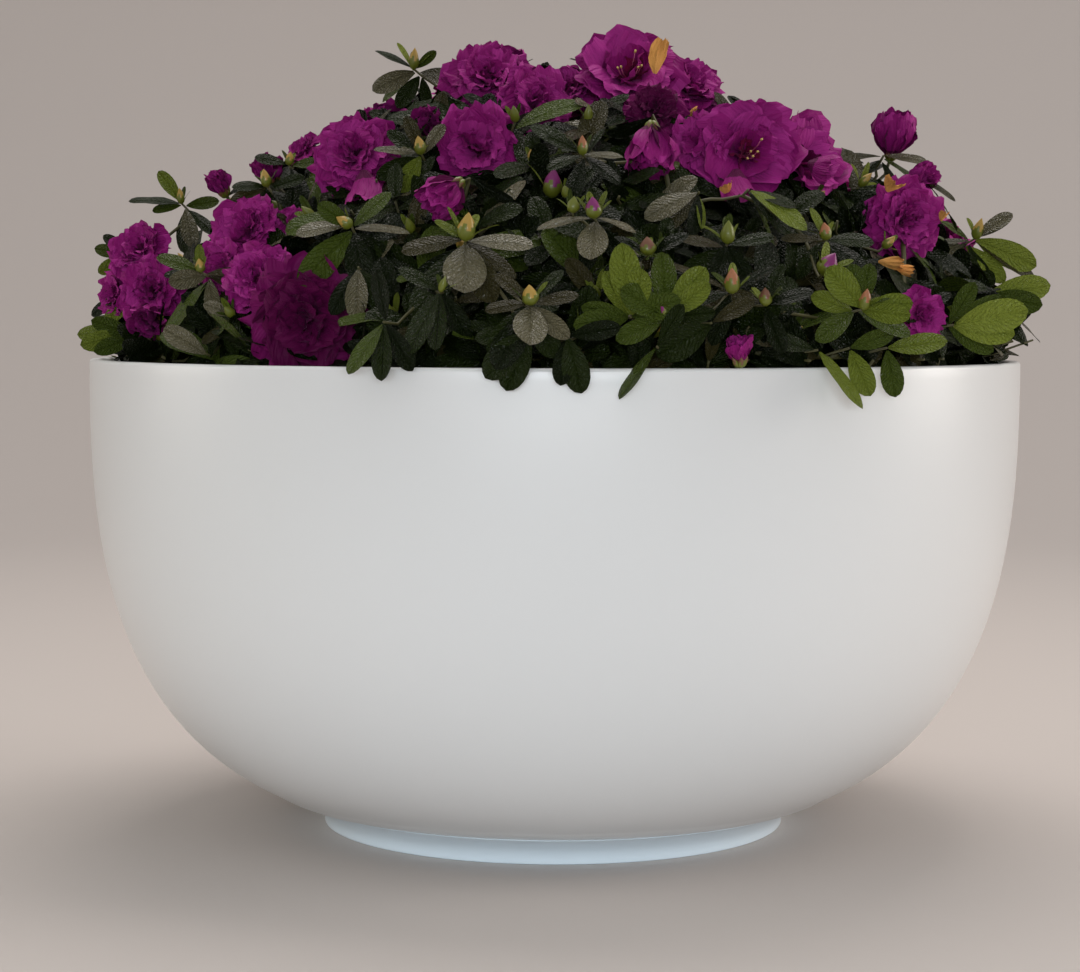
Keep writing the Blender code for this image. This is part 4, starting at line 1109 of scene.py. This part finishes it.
# The blooms that the crown shows from its front: place, diameter; the way they face, style.
# Blooms of the dark style are the ones in shade; their darker tones paint that shade.
SHOW_BLOOMS = """
46 -85 493 66, 0 -80 58 open
6 -68 481 42, -35 -65 65 full
20 -75 468 44, -15 -80 40 dark
86 -62 486 48, 45 -60 60 full
-44 -80 488 52, -10 -75 60 full
-48 -150 437 52, -15 -95 15 full
-10 -112 469 46, 30 -85 35 full
-122 -140 436 49, -10 -90 35 full
-160 -88 441 24, -50 -50 65 double
-180 -90 428 22, -30 -60 65 half
57 -186 435 36, 0 -42 -90 bell
60 -150 462 34, 0 -85 45 dark
84 -162 441 34, -35 -90 20 double
117 -165 436 62, 15 -95 10 open
157 -130 437 52, 62 -66 40 side
215 -70 452 33, 10 -25 95 round
213 -150 397 47, 30 -92 20 full
227 -110 422 20, 60 -60 40 half
-187 -150 389 45, -25 -85 45 full
-157 -150 392 22, 35 -80 40 double
-143 -236 335 66, -5 -98 -2 dark
-78 -110 455 24, -30 -80 40 half
-200 -172 364 34, -40 -85 10 double
-175 -200 360 44, -30 -85 40 full
-264 -85 378 41, -40 -75 50 full
-250 -124 352 42, -25 -92 10 full
-282 -74 350 30, -70 -65 10 double
-248 -140 333 26, -20 -90 -20 half
-214 -68 420 18, -40 -50 75 half
213 -222 338 30, 25 -93 10 double
-64 -214 406 29, -66 -40 -60 bell
102 -286 318 17, -12 -30 94 bell
"""

# Single petals among the blooms: place; the way they hang; length, width, tone.
LOOSE_PETALS = """
62 -101 487, 5 45 100, 23 11.5 petal_withered
83 -90 463, 100 -35 20, 9 7 petal_withered
102 -196 408, -40 -30 100, 9 9 petal_withered
198 -170 411, 50 -50 80, 13 13 petal_withered
190 -196 369, 100 -30 -10, 20 8 petal_withered
199 -200 366, 90 -30 -30, 16 7 petal_withered
232 -160 394, 20 -30 90, 9 6 petal_withered
-116 -156 424, 10 -35 -100, 30 24 petal
108 -180 424, 5 -45 -100, 30 26 petal
150 -176 428, 85 -45 -35, 24 20 petal
"""

# Sprigs that the crown shows from its front: the shoot's end and, for most, its bud's tone,
# length, width and the way it points round the front view's clock; then its leaves: the
# angle round that clock and towards the front, the length, the width in lengths, the tone.
# One of the leaf tones is painted sheen: a pale colour for leaves whose gloss catches the lamps.
SHOW_SPRIGS = """
-92 -34 496 yellow 15 6.5 85, 152 5 26 22 deep, 40 10 17 40 green, 206 15 30 45 silver,
 212 -10 30 30 green, 2 20 20 30 bronze, -14 10 22 35 silver, 236 20 26 45 deep, 282 15 20 40 deep
-243 -34 409 yellow 11 5 95, 122 8 24 36 lime, 171 0 34 16 deep, 187 15 19 35 green, 8 10 22 40 green,
 282 20 26 45 silver, 262 10 28 35 deep, 320 10 24 35 deep
-176 -134 415 yellow 12 6.5 100, 178 10 20 35 deep, 200 20 24 35 bronze, 20 10 22 35 deep,
 -30 20 26 35 dark, 250 20 24 40 deep
-164 -120 429 yellow 9 5.5 80, 165 10 20 30 deep, 10 10 20 35 green, 300 25 24 35 dark
-80 -168 433 yellow 12 7 100, 172 8 27 24 silver, 240 15 25 50 lime, 110 5 24 35 bronze,
 60 5 22 35 silver, 205 25 30 40 deep, 265 25 28 42 deep, 140 10 26 30 deep
-117 -228 388 yellow 11 7 150, 181 12 31 22 silver, 146 12 22 50 green, 47 5 29 36 green,
 3 10 32 22 silver, 227 22 44 42 green, 282 30 34 50 dark, 318 25 34 40 dark, 330 5 30 28 bronze
-112 -242 364, 268 20 29 48 silver, 305 15 32 45 deep, 240 20 30 40 dark
-50 -272 379 yellow 17 10 82, 187 10 35 22 bronze, 142 8 19 28 lime, 0 8 37 22 silver,
 330 15 34 30 bronze, 270 48 34 74 silver, 297 30 38 46 bronze, 232 14 50 36 deep, 222 8 44 40 dark,
 305 20 44 42 dark
-210 -184 362 yellow 9 6 95, 92 8 15 42 lime, 156 10 27 32 green, 177 15 22 24 deep, 8 8 29 24 bronze,
 -16 12 32 24 bronze, 190 40 24 50 silver, 279 22 24 42 silver, 262 15 28 52 dark, 223 5 44 16 green
-13 -306 343 yellow 12 9 95, 182 10 24 26 bronze, 134 8 24 30 bronze, 270 50 28 70 silver,
 14 10 26 26 bronze, -40 20 28 40 silver, 235 20 36 48 deep, 243 28 40 46 dark, 298 20 32 46 deep,
 50 5 26 30 deep
16 -216 430 salmon 12 6 92, 150 8 22 30 deep, 0 8 22 26 silver, 195 15 22 26 deep, 325 20 26 34 dark,
 250 25 30 36 dark, 60 5 20 26 deep
22 -258 392 purple 13 9 95, -12 5 24 16 silver, 183 5 32 16 silver, 72 5 16 26 lime,
 262 50 30 60 silver, 257 15 28 40 dark, 305 15 28 40 dark, 100 5 14 24 green
10 -257 395 green 10 7 85, 100 5 12 25 green
83 -222 408, 201 15 34 34 silver, 262 20 26 34 dark, 225 20 30 34 bronze, 280 20 20 30 lime
97 -260 378 green 14 8 88, 90 5 15 30 green, 250 20 24 50 dark, 300 20 28 42 dark, 15 8 26 22 deep,
 165 8 26 24 bronze, 215 15 30 46 deep
112 -214 410, -29 10 40 27 lime, 302 5 44 11 green, 320 5 34 24 deep, -8 5 30 26 deep
156 -228 381 salmon 11 7 100, 115 5 19 30 lime, 294 5 28 10 green, 230 12 26 30 deep, 5 8 28 26 deep,
 330 15 30 34 dark, 170 8 22 26 bronze
52 -276 371 brown 11 9 95, 150 8 20 30 dark, 30 8 24 34 dark, 200 15 26 36 dark, 330 15 28 36 dark
98 -288 350 salmon 15 8.5 92, 153 5 42 14 bronze, 35 5 26 26 dark, 250 15 30 40 dark,
 190 10 26 30 deep
117 -284 343 brown 11 7 95, 20 5 26 30 dark, 290 20 28 40 dark, 70 5 24 30 deep
42 -300 336, 98 12 40 44 lime, 78 20 27 58 lime, 168 15 27 40 green, 188 20 32 46 green,
 120 10 28 40 lime, 20 25 30 50 green
62 -300 337 purple 9 6 120, 52 10 32 50 lime, 38 18 28 46 lime, 150 25 30 54 green, 95 10 34 44 green,
 5 20 26 40 deep, 205 20 30 42 green
173 -266 341 salmon 13 7 80, 132 15 30 56 lime, 104 8 25 50 green, 8 18 28 50 lime, -6 25 28 44 lime,
 75 5 26 44 green, -22 20 32 34 green, 215 20 28 46 green, 160 20 26 44 lime
270 -54 387 yellow 15 7 75, 37 8 27 36 silver, -24 15 42 42 young, -28 5 46 24 bronze,
 180 8 22 22 silver, 139 5 22 26 green, 209 15 38 28 bronze, -60 18 32 34 deep, 196 20 26 34 silver,
 -42 15 34 38 young
272 -86 350, -34 5 44 10 bronze, 10 15 40 46 young, -8 20 36 44 green, 200 15 30 30 bronze
232 -214 332, 12 18 42 48 young, 30 12 32 40 green, -8 20 36 46 young, 160 15 28 40 deep,
 60 8 28 34 green, -30 20 30 40 green
-268 -80 324, 192 18 32 42 lime, 178 10 34 34 lime, 160 20 28 40 green, 215 20 28 40 green
-262 -72 356, 226 12 36 36 lime, 252 10 28 36 deep, 200 8 28 34 green
-276 -50 375, 169 10 20 44 green, 211 12 21 46 lime, 140 5 20 36 deep
147 -272 318, -50 8 40 27 lime, 165 10 28 34 deep
166 -262 319, -66 8 28 50 lime, 20 20 26 42 green
189 -247 319, -80 8 27 50 green, 8 20 34 38 lime
56 -305 320, 233 6 34 20 green, 60 10 26 34 deep
86 -298 333, 247 7 34 56 deep, 30 12 26 34 bronze
-14 -309 329, 228 5 34 52 deep, 250 8 34 50 deep, 222 5 30 44 dark, 190 6 28 40 deep
7 -309 326, 284 6 31 50 deep, 262 8 26 46 dark, 10 10 28 40 dark
-94 -296 333, 268 18 32 36 deep, 235 15 34 30 green, 300 15 30 40 dark, 100 8 28 36 dark
207 -82 438, -5 5 26 22 silver, 178 5 26 14 bronze, -32 10 32 20 green, 215 10 26 30 deep,
 -62 15 26 30 deep
226 -112 424, -48 0 40 12 green, -70 12 28 24 deep, -25 5 26 20 bronze
-2 -190 407 purple 18 11 85, 200 10 30 30 deep, 340 10 28 30 dark
152 -248 361 purple 15 11 60
14 -292 327 purple 14 10 60
-63 -292 350 green 10 4 70, 240 15 38 30 deep, 262 20 32 36 deep, 300 10 30 40 dark, 150 10 26 30 deep
"""

BLOOM_STYLES = {row[0][0]: row for row in rows_of(STYLES)}


def facing_at(point):
    out = Vector((point.x - CROWN_MIDDLE.x, point.y - CROWN_MIDDLE.y, 0))
    return (crown_normal(point.x, point.y) + out.normalized() * OUTWARD_LEAN).normalized()


def even_places():
    """Places (x, y) over the mound, in the same order as the solids' shoots."""
    for k in range(1, TIPS + 1):
        out = TIP_REACH * math.sqrt(k * EVEN_STEPS[0] % 1.0)
        angle = math.tau * (k * EVEN_STEPS[1] % 1.0)
        x = CROWN_MIDDLE.x + CROWN_HALF_WIDTH * out * math.cos(angle)
        y = CROWN_MIDDLE.y + CROWN_HALF_DEPTH * out * math.sin(angle)
        yield x, y


GROUPS = {
    "crest": ["foliage_top"] + [f"foliage_inner_{k}" for k in range(1, 6)],
    "front": [f"foliage_outer_{k}" for k in (1, 2, 3)],
    "right": [f"foliage_outer_{k}" for k in (4, 5, 6)],
    "back": [f"foliage_outer_{k}" for k in (7, 8, 9)],
}
FILL_LEAVES, INNER_LEAVES = (0.034, 0.052), (0.036, 0.054)
BLOOM_CHANCE, FULL_CHANCE, MIXED_CHANCE, BUD_CHANCE = 0.38, 0.14, 0.55, 0.4
BLOOM_REACH, BLOOM_FRONT = 0.268, -0.03  # how far out and how far forward the rule's blooms go
BLOOM_SIZES = (0.044, 0.060)
BLOOM_LIFT, BLOOM_ROOM = 0.014, 0.012  # over its shoot's place, and round it
BLOOM_TAKES = 0.55  # the reach of the place that a bloom takes, in diameters
HIDDEN_SINK = 0.018  # how much deeper the rule's shoots are behind a listed sprig
BLOOM_AHEAD, PETAL_AHEAD = Vector((0, -0.013, 0.003)), Vector((0, -0.015, -0.005))
SPRIG_AHEAD = Vector((0, -0.011, 0.004))
PETAL_CLEAR, SPRIG_CLEAR = 0.018, 0.014
INNER_FROM_RIM = 0.022
INNER_DEPTHS, INNER_OVER_RIM = (0.030, 0.062), (0.002, 0.012)
INNER_SPACING = 0.030
HANGING_SHOOTS = 10
DIP_PLACE, DIP_RADIUS, DIP_DEPTH = Vector((0.135, 0.0)), 0.075, 0.016


def millimetres(place):
    return Vector([value / 1000 for value in place])


def hundredths(way):
    return Vector([value / 100 for value in way])


def clear_spheres():
    """Spheres in front of the listed blooms, petals and sprigs, where no leaf grows."""
    clear = []
    for (*place, diameter), _ in rows_of(SHOW_BLOOMS):
        for k in range(1, 6):
            ahead = millimetres(place) + BLOOM_AHEAD * k
            clear.append((ahead, diameter / 1000 * (0.42 - 0.02 * k)))
    for place, *_ in rows_of(LOOSE_PETALS):
        clear.append((millimetres(place) + PETAL_AHEAD, PETAL_CLEAR))
    for head, *_ in rows_of(SHOW_SPRIGS):
        for k in range(1, 4):
            clear.append((millimetres(head[:3]) + SPRIG_AHEAD * k, SPRIG_CLEAR))
    return clear


def make_crown(places, boughs):
    rng = random.Random(11)
    groups = {name: Group(name, nodes) for name, nodes in GROUPS.items()}
    clear = clear_spheres()
    masses = {}
    for order, (name, spot) in enumerate(places.items()):
        group = next(g for g in groups.values() if name in g.nodes)
        masses[name] = Mass(boughs[name], hub_of(spot), group, clear, 40 + order)

    def owner(point):
        return masses[min(places, key=lambda key: (places[key] - point.xy).length)]

    taken = []
    for (*place, diameter), (*way, style) in rows_of(SHOW_BLOOMS):
        middle, size = millimetres(place), diameter / 1000
        owner(middle).flowering_shoot(middle, hundredths(way).normalized(), size, style, SHOW_TWIG_RADIUS)
        taken.append((middle, size * BLOOM_TAKES))
        taken.append((middle + Vector((0, -0.02, 0)), size * 0.45))
    for place, way, (length, width, tone) in rows_of(LOOSE_PETALS):
        spot = millimetres(place)
        owner(spot).loose_petal(spot, hundredths(way), length / 1000, width / 1000, tone)
    shown = []
    for head, *leaves in rows_of(SHOW_SPRIGS):
        tip = millimetres(head[:3])
        owner(tip).show_sprig(tip, head[3:], leaves)
        shown.append((tip, 0.026))
    grow_shoots(rng, owner, taken, shown)
    fill_inside(rng, owner)
    hang_shoots(rng, owner)
    for group in groups.values():
        group.make()


def grow_shoots(rng, owner, taken, shown):
    """The rule's shoots over the mound: blooms on its back, and leaves with some buds."""
    for x, y in even_places():
        deep = rng.uniform(*TIP_DEPTHS)
        if (Vector((x, y)) - DIP_PLACE).length < DIP_RADIUS:
            deep += DIP_DEPTH
        point = Vector((x, y, crown_height(x, y) - deep))
        edge = math.hypot(x, y) > BOWL_RADIUS - RIM_SHY
        if edge:
            point.z = max(point.z, BOWL_HEIGHT + 0.014)
        kind = rng.random()
        size = rng.uniform(*BLOOM_SIZES)
        hidden = crowded(point, shown)
        if hidden:
            point.z -= HIDDEN_SINK
        if crowded(point, taken):
            continue
        mass = owner(point)
        facing = (facing_at(point) + nudge(rng, 0.22)).normalized()
        room = [(other, reach + BLOOM_ROOM) for other, reach in taken]
        on_back = y > BLOOM_FRONT and math.hypot(x, y) < BLOOM_REACH
        if kind < BLOOM_CHANCE and on_back and not hidden and not crowded(point, room):
            middle = point + facing * BLOOM_LIFT
            style = "full" if kind < FULL_CHANCE else "double"
            mass.flowering_shoot(middle, facing, size, style, BLOOM_TWIG_RADIUS)
            taken.append((middle, size * BLOOM_TAKES))
            continue
        line = mass.twig_to(point, facing)
        tones = MIXED_TONES if rng.random() < MIXED_CHANCE and not hidden else DARK_TONES
        mass.rosette(line, facing, rng.randint(6, 9), SHOOT_LEAVES, tones)
        if rng.random() < BUD_CHANCE and not hidden and not edge:
            tone = rng.choice(("bud_green", "bud_green", "bud_yellow", "bud_salmon"))
            mass.flower_bud(point, facing, rng.uniform(0.009, 0.013), 0.0055, tone)
        way = (line[4] - line[2]).normalized()
        mass.rosette([line[3]], way, 5, FILL_LEAVES, FILL_TONES)
        taken.append((point, TIP_SPACING))


def fill_inside(rng, owner):
    """Dark shoots under the others, as deep as the soil's edge."""
    inner = []
    for x, y in even_places():
        point = Vector((x, y, crown_height(x, y) - rng.uniform(*INNER_DEPTHS)))
        point.z = max(point.z, BOWL_HEIGHT + rng.uniform(*INNER_OVER_RIM))
        out = math.hypot(x, y) / (BOWL_RADIUS - INNER_FROM_RIM)
        if out > 1:
            point.x, point.y = x / out, y / out
        if crowded(point, inner):
            continue
        mass = owner(point)
        facing = (facing_at(point) + nudge(rng, 0.5)).normalized()
        mass.rosette(mass.twig_to(point, facing), facing, 7, INNER_LEAVES, FILL_TONES)
        inner.append((point, INNER_SPACING))


def hang_shoots(rng, owner):
    """Shoots that lie on the rim at the back, with leaves that hang over it."""
    for k in range(HANGING_SHOOTS):
        angle = math.pi * (0.12 + 0.76 * (k + rng.uniform(-0.3, 1.3)) / HANGING_SHOOTS)
        out = Vector((math.cos(angle), math.sin(angle), 0))
        point = out * (BOWL_RADIUS - 0.002) + UP * (BOWL_HEIGHT + 0.007)
        mass = owner(point)
        mass.twig_to(point, (out + UP * 0.3).normalized())
        tone = rng.choice(MIXED_TONES)
        droop = (rng.uniform(-0.7, 0.7), rng.uniform(-1.2, -0.5), 34)
        for turn, rise, size in (droop, (0.9, 0.1, 30), (-1.0, 0.25, 30)):
            along, _ = raised(turned_about(out, UP, turn), UP, rise)
            length = size * rng.uniform(0.85, 1.2) / 1000
            face = out * 0.8 + UP * 0.6
            mass.leaf(point, along, face, length, length * 0.44, tone, 0.2, 0.2, listed=True)


# --- Stage, lights and camera ------------------------------------------------------------


def make_stage():
    """A seamless pale floor that sweeps up into a far round wall."""
    floor_radius, sweep, top = 2.2, 1.8, 2.3
    profile = [(AXIS_HOLE, 0.0), (0.6, 0.0), (1.4, 0.0), (floor_radius, 0.0)]
    for a in (math.radians(9 * k) for k in range(1, 11)):
        profile.append((floor_radius + sweep * math.sin(a), sweep * (1 - math.cos(a))))
    profile.append((floor_radius + sweep, top))
    points, quads = turned(profile, 96)
    paper = material_of("paper", (0.52, 0.475, 0.45), 0.9, {})
    add_noise_bump(paper, 3.0, 0.05, 0.002)
    mesh_object("backdrop", [paper], points, quads[:, ::-1])


# Name, place, what it points at, size, power, colour and the angle of its light.
LAMPS = (
    ("overhead", (0.1, 0.5, 2.2), (0, 0.2, 0.3), (1.4, 1.2), 23.5, (1, 0.93, 0.885), 180),
    ("wall_wash", (0.5, 1.4, 2.6), (0.5, 3.9, 0.9), (4.0, 0.8), 30.0, (1, 0.98, 0.975), 180),
    ("front_wash", (0.5, -1.4, 2.6), (0.5, -3.9, 0.9), (4.0, 0.8), 9.0, (1, 0.985, 0.985), 180),
    ("left", (-2.5, 0.1, 0.8), (0, 0, 0.2), (1.2, 1.2), 3.1, (1, 0.96, 0.86), 90),
    ("right", (2.5, 0.2, 0.8), (0, 0, 0.2), (1.2, 1.2), 6.8, (1, 0.94, 0.88), 90),
    ("low", (0.0, -2.1, 0.45), (0, -0.60, 0.0), (1.8, 0.20), 3.4, (0.87, 0.95, 1), 60),
)
SKY_COLOR, SKY_STRENGTH = (1.0, 0.995, 0.975, 1), 0.46


def make_lights():
    world = bpy.data.worlds.new("studio")
    bpy.context.scene.world = world
    world.use_nodes = True
    sky = world.node_tree.nodes["Background"]
    sky.inputs["Color"].default_value = SKY_COLOR
    sky.inputs["Strength"].default_value = SKY_STRENGTH
    for name, place, target, size, power, color, spread in LAMPS:
        data = bpy.data.lights.new(name, "AREA")
        data.shape = "RECTANGLE"
        data.size, data.size_y = size
        data.energy, data.color, data.spread = power, color, math.radians(spread)
        made = object_of(name, data)
        made.location = place
        way = Vector(target) - Vector(place)
        made.rotation_euler = way.to_track_quat("-Z", "Y").to_euler()
        made.visible_camera = False


CAMERA_PLACE = (0.0, -1.7019, 0.3374)
CAMERA_PAN, CAMERA_DOWN, CAMERA_ROLL = 0.0055, 0.0671, 0.003
LENS, SENSOR = 85.09, 36.0


def make_camera():
    data = bpy.data.cameras.new("camera")
    data.sensor_fit = "HORIZONTAL"
    data.sensor_width, data.lens = SENSOR, LENS
    camera = object_of("camera", data)
    camera.location = CAMERA_PLACE
    turn = Matrix.Rotation(CAMERA_PAN, 4, "Z") @ Matrix.Rotation(math.pi / 2 - CAMERA_DOWN, 4, "X")
    camera.rotation_euler = (turn @ Matrix.Rotation(CAMERA_ROLL, 4, "Z")).to_euler()
    bpy.context.scene.camera = camera


make_camera()
make_stage()
make_lights()
bpy.context.scene.view_settings.view_transform = "Standard"
make_bowl()
make_foot()
make_soil()
make_trunk()
crown_places = mass_places()
limbs = grow_boughs(crown_places)
make_boughs(limbs)
make_crown(crown_places, limbs)
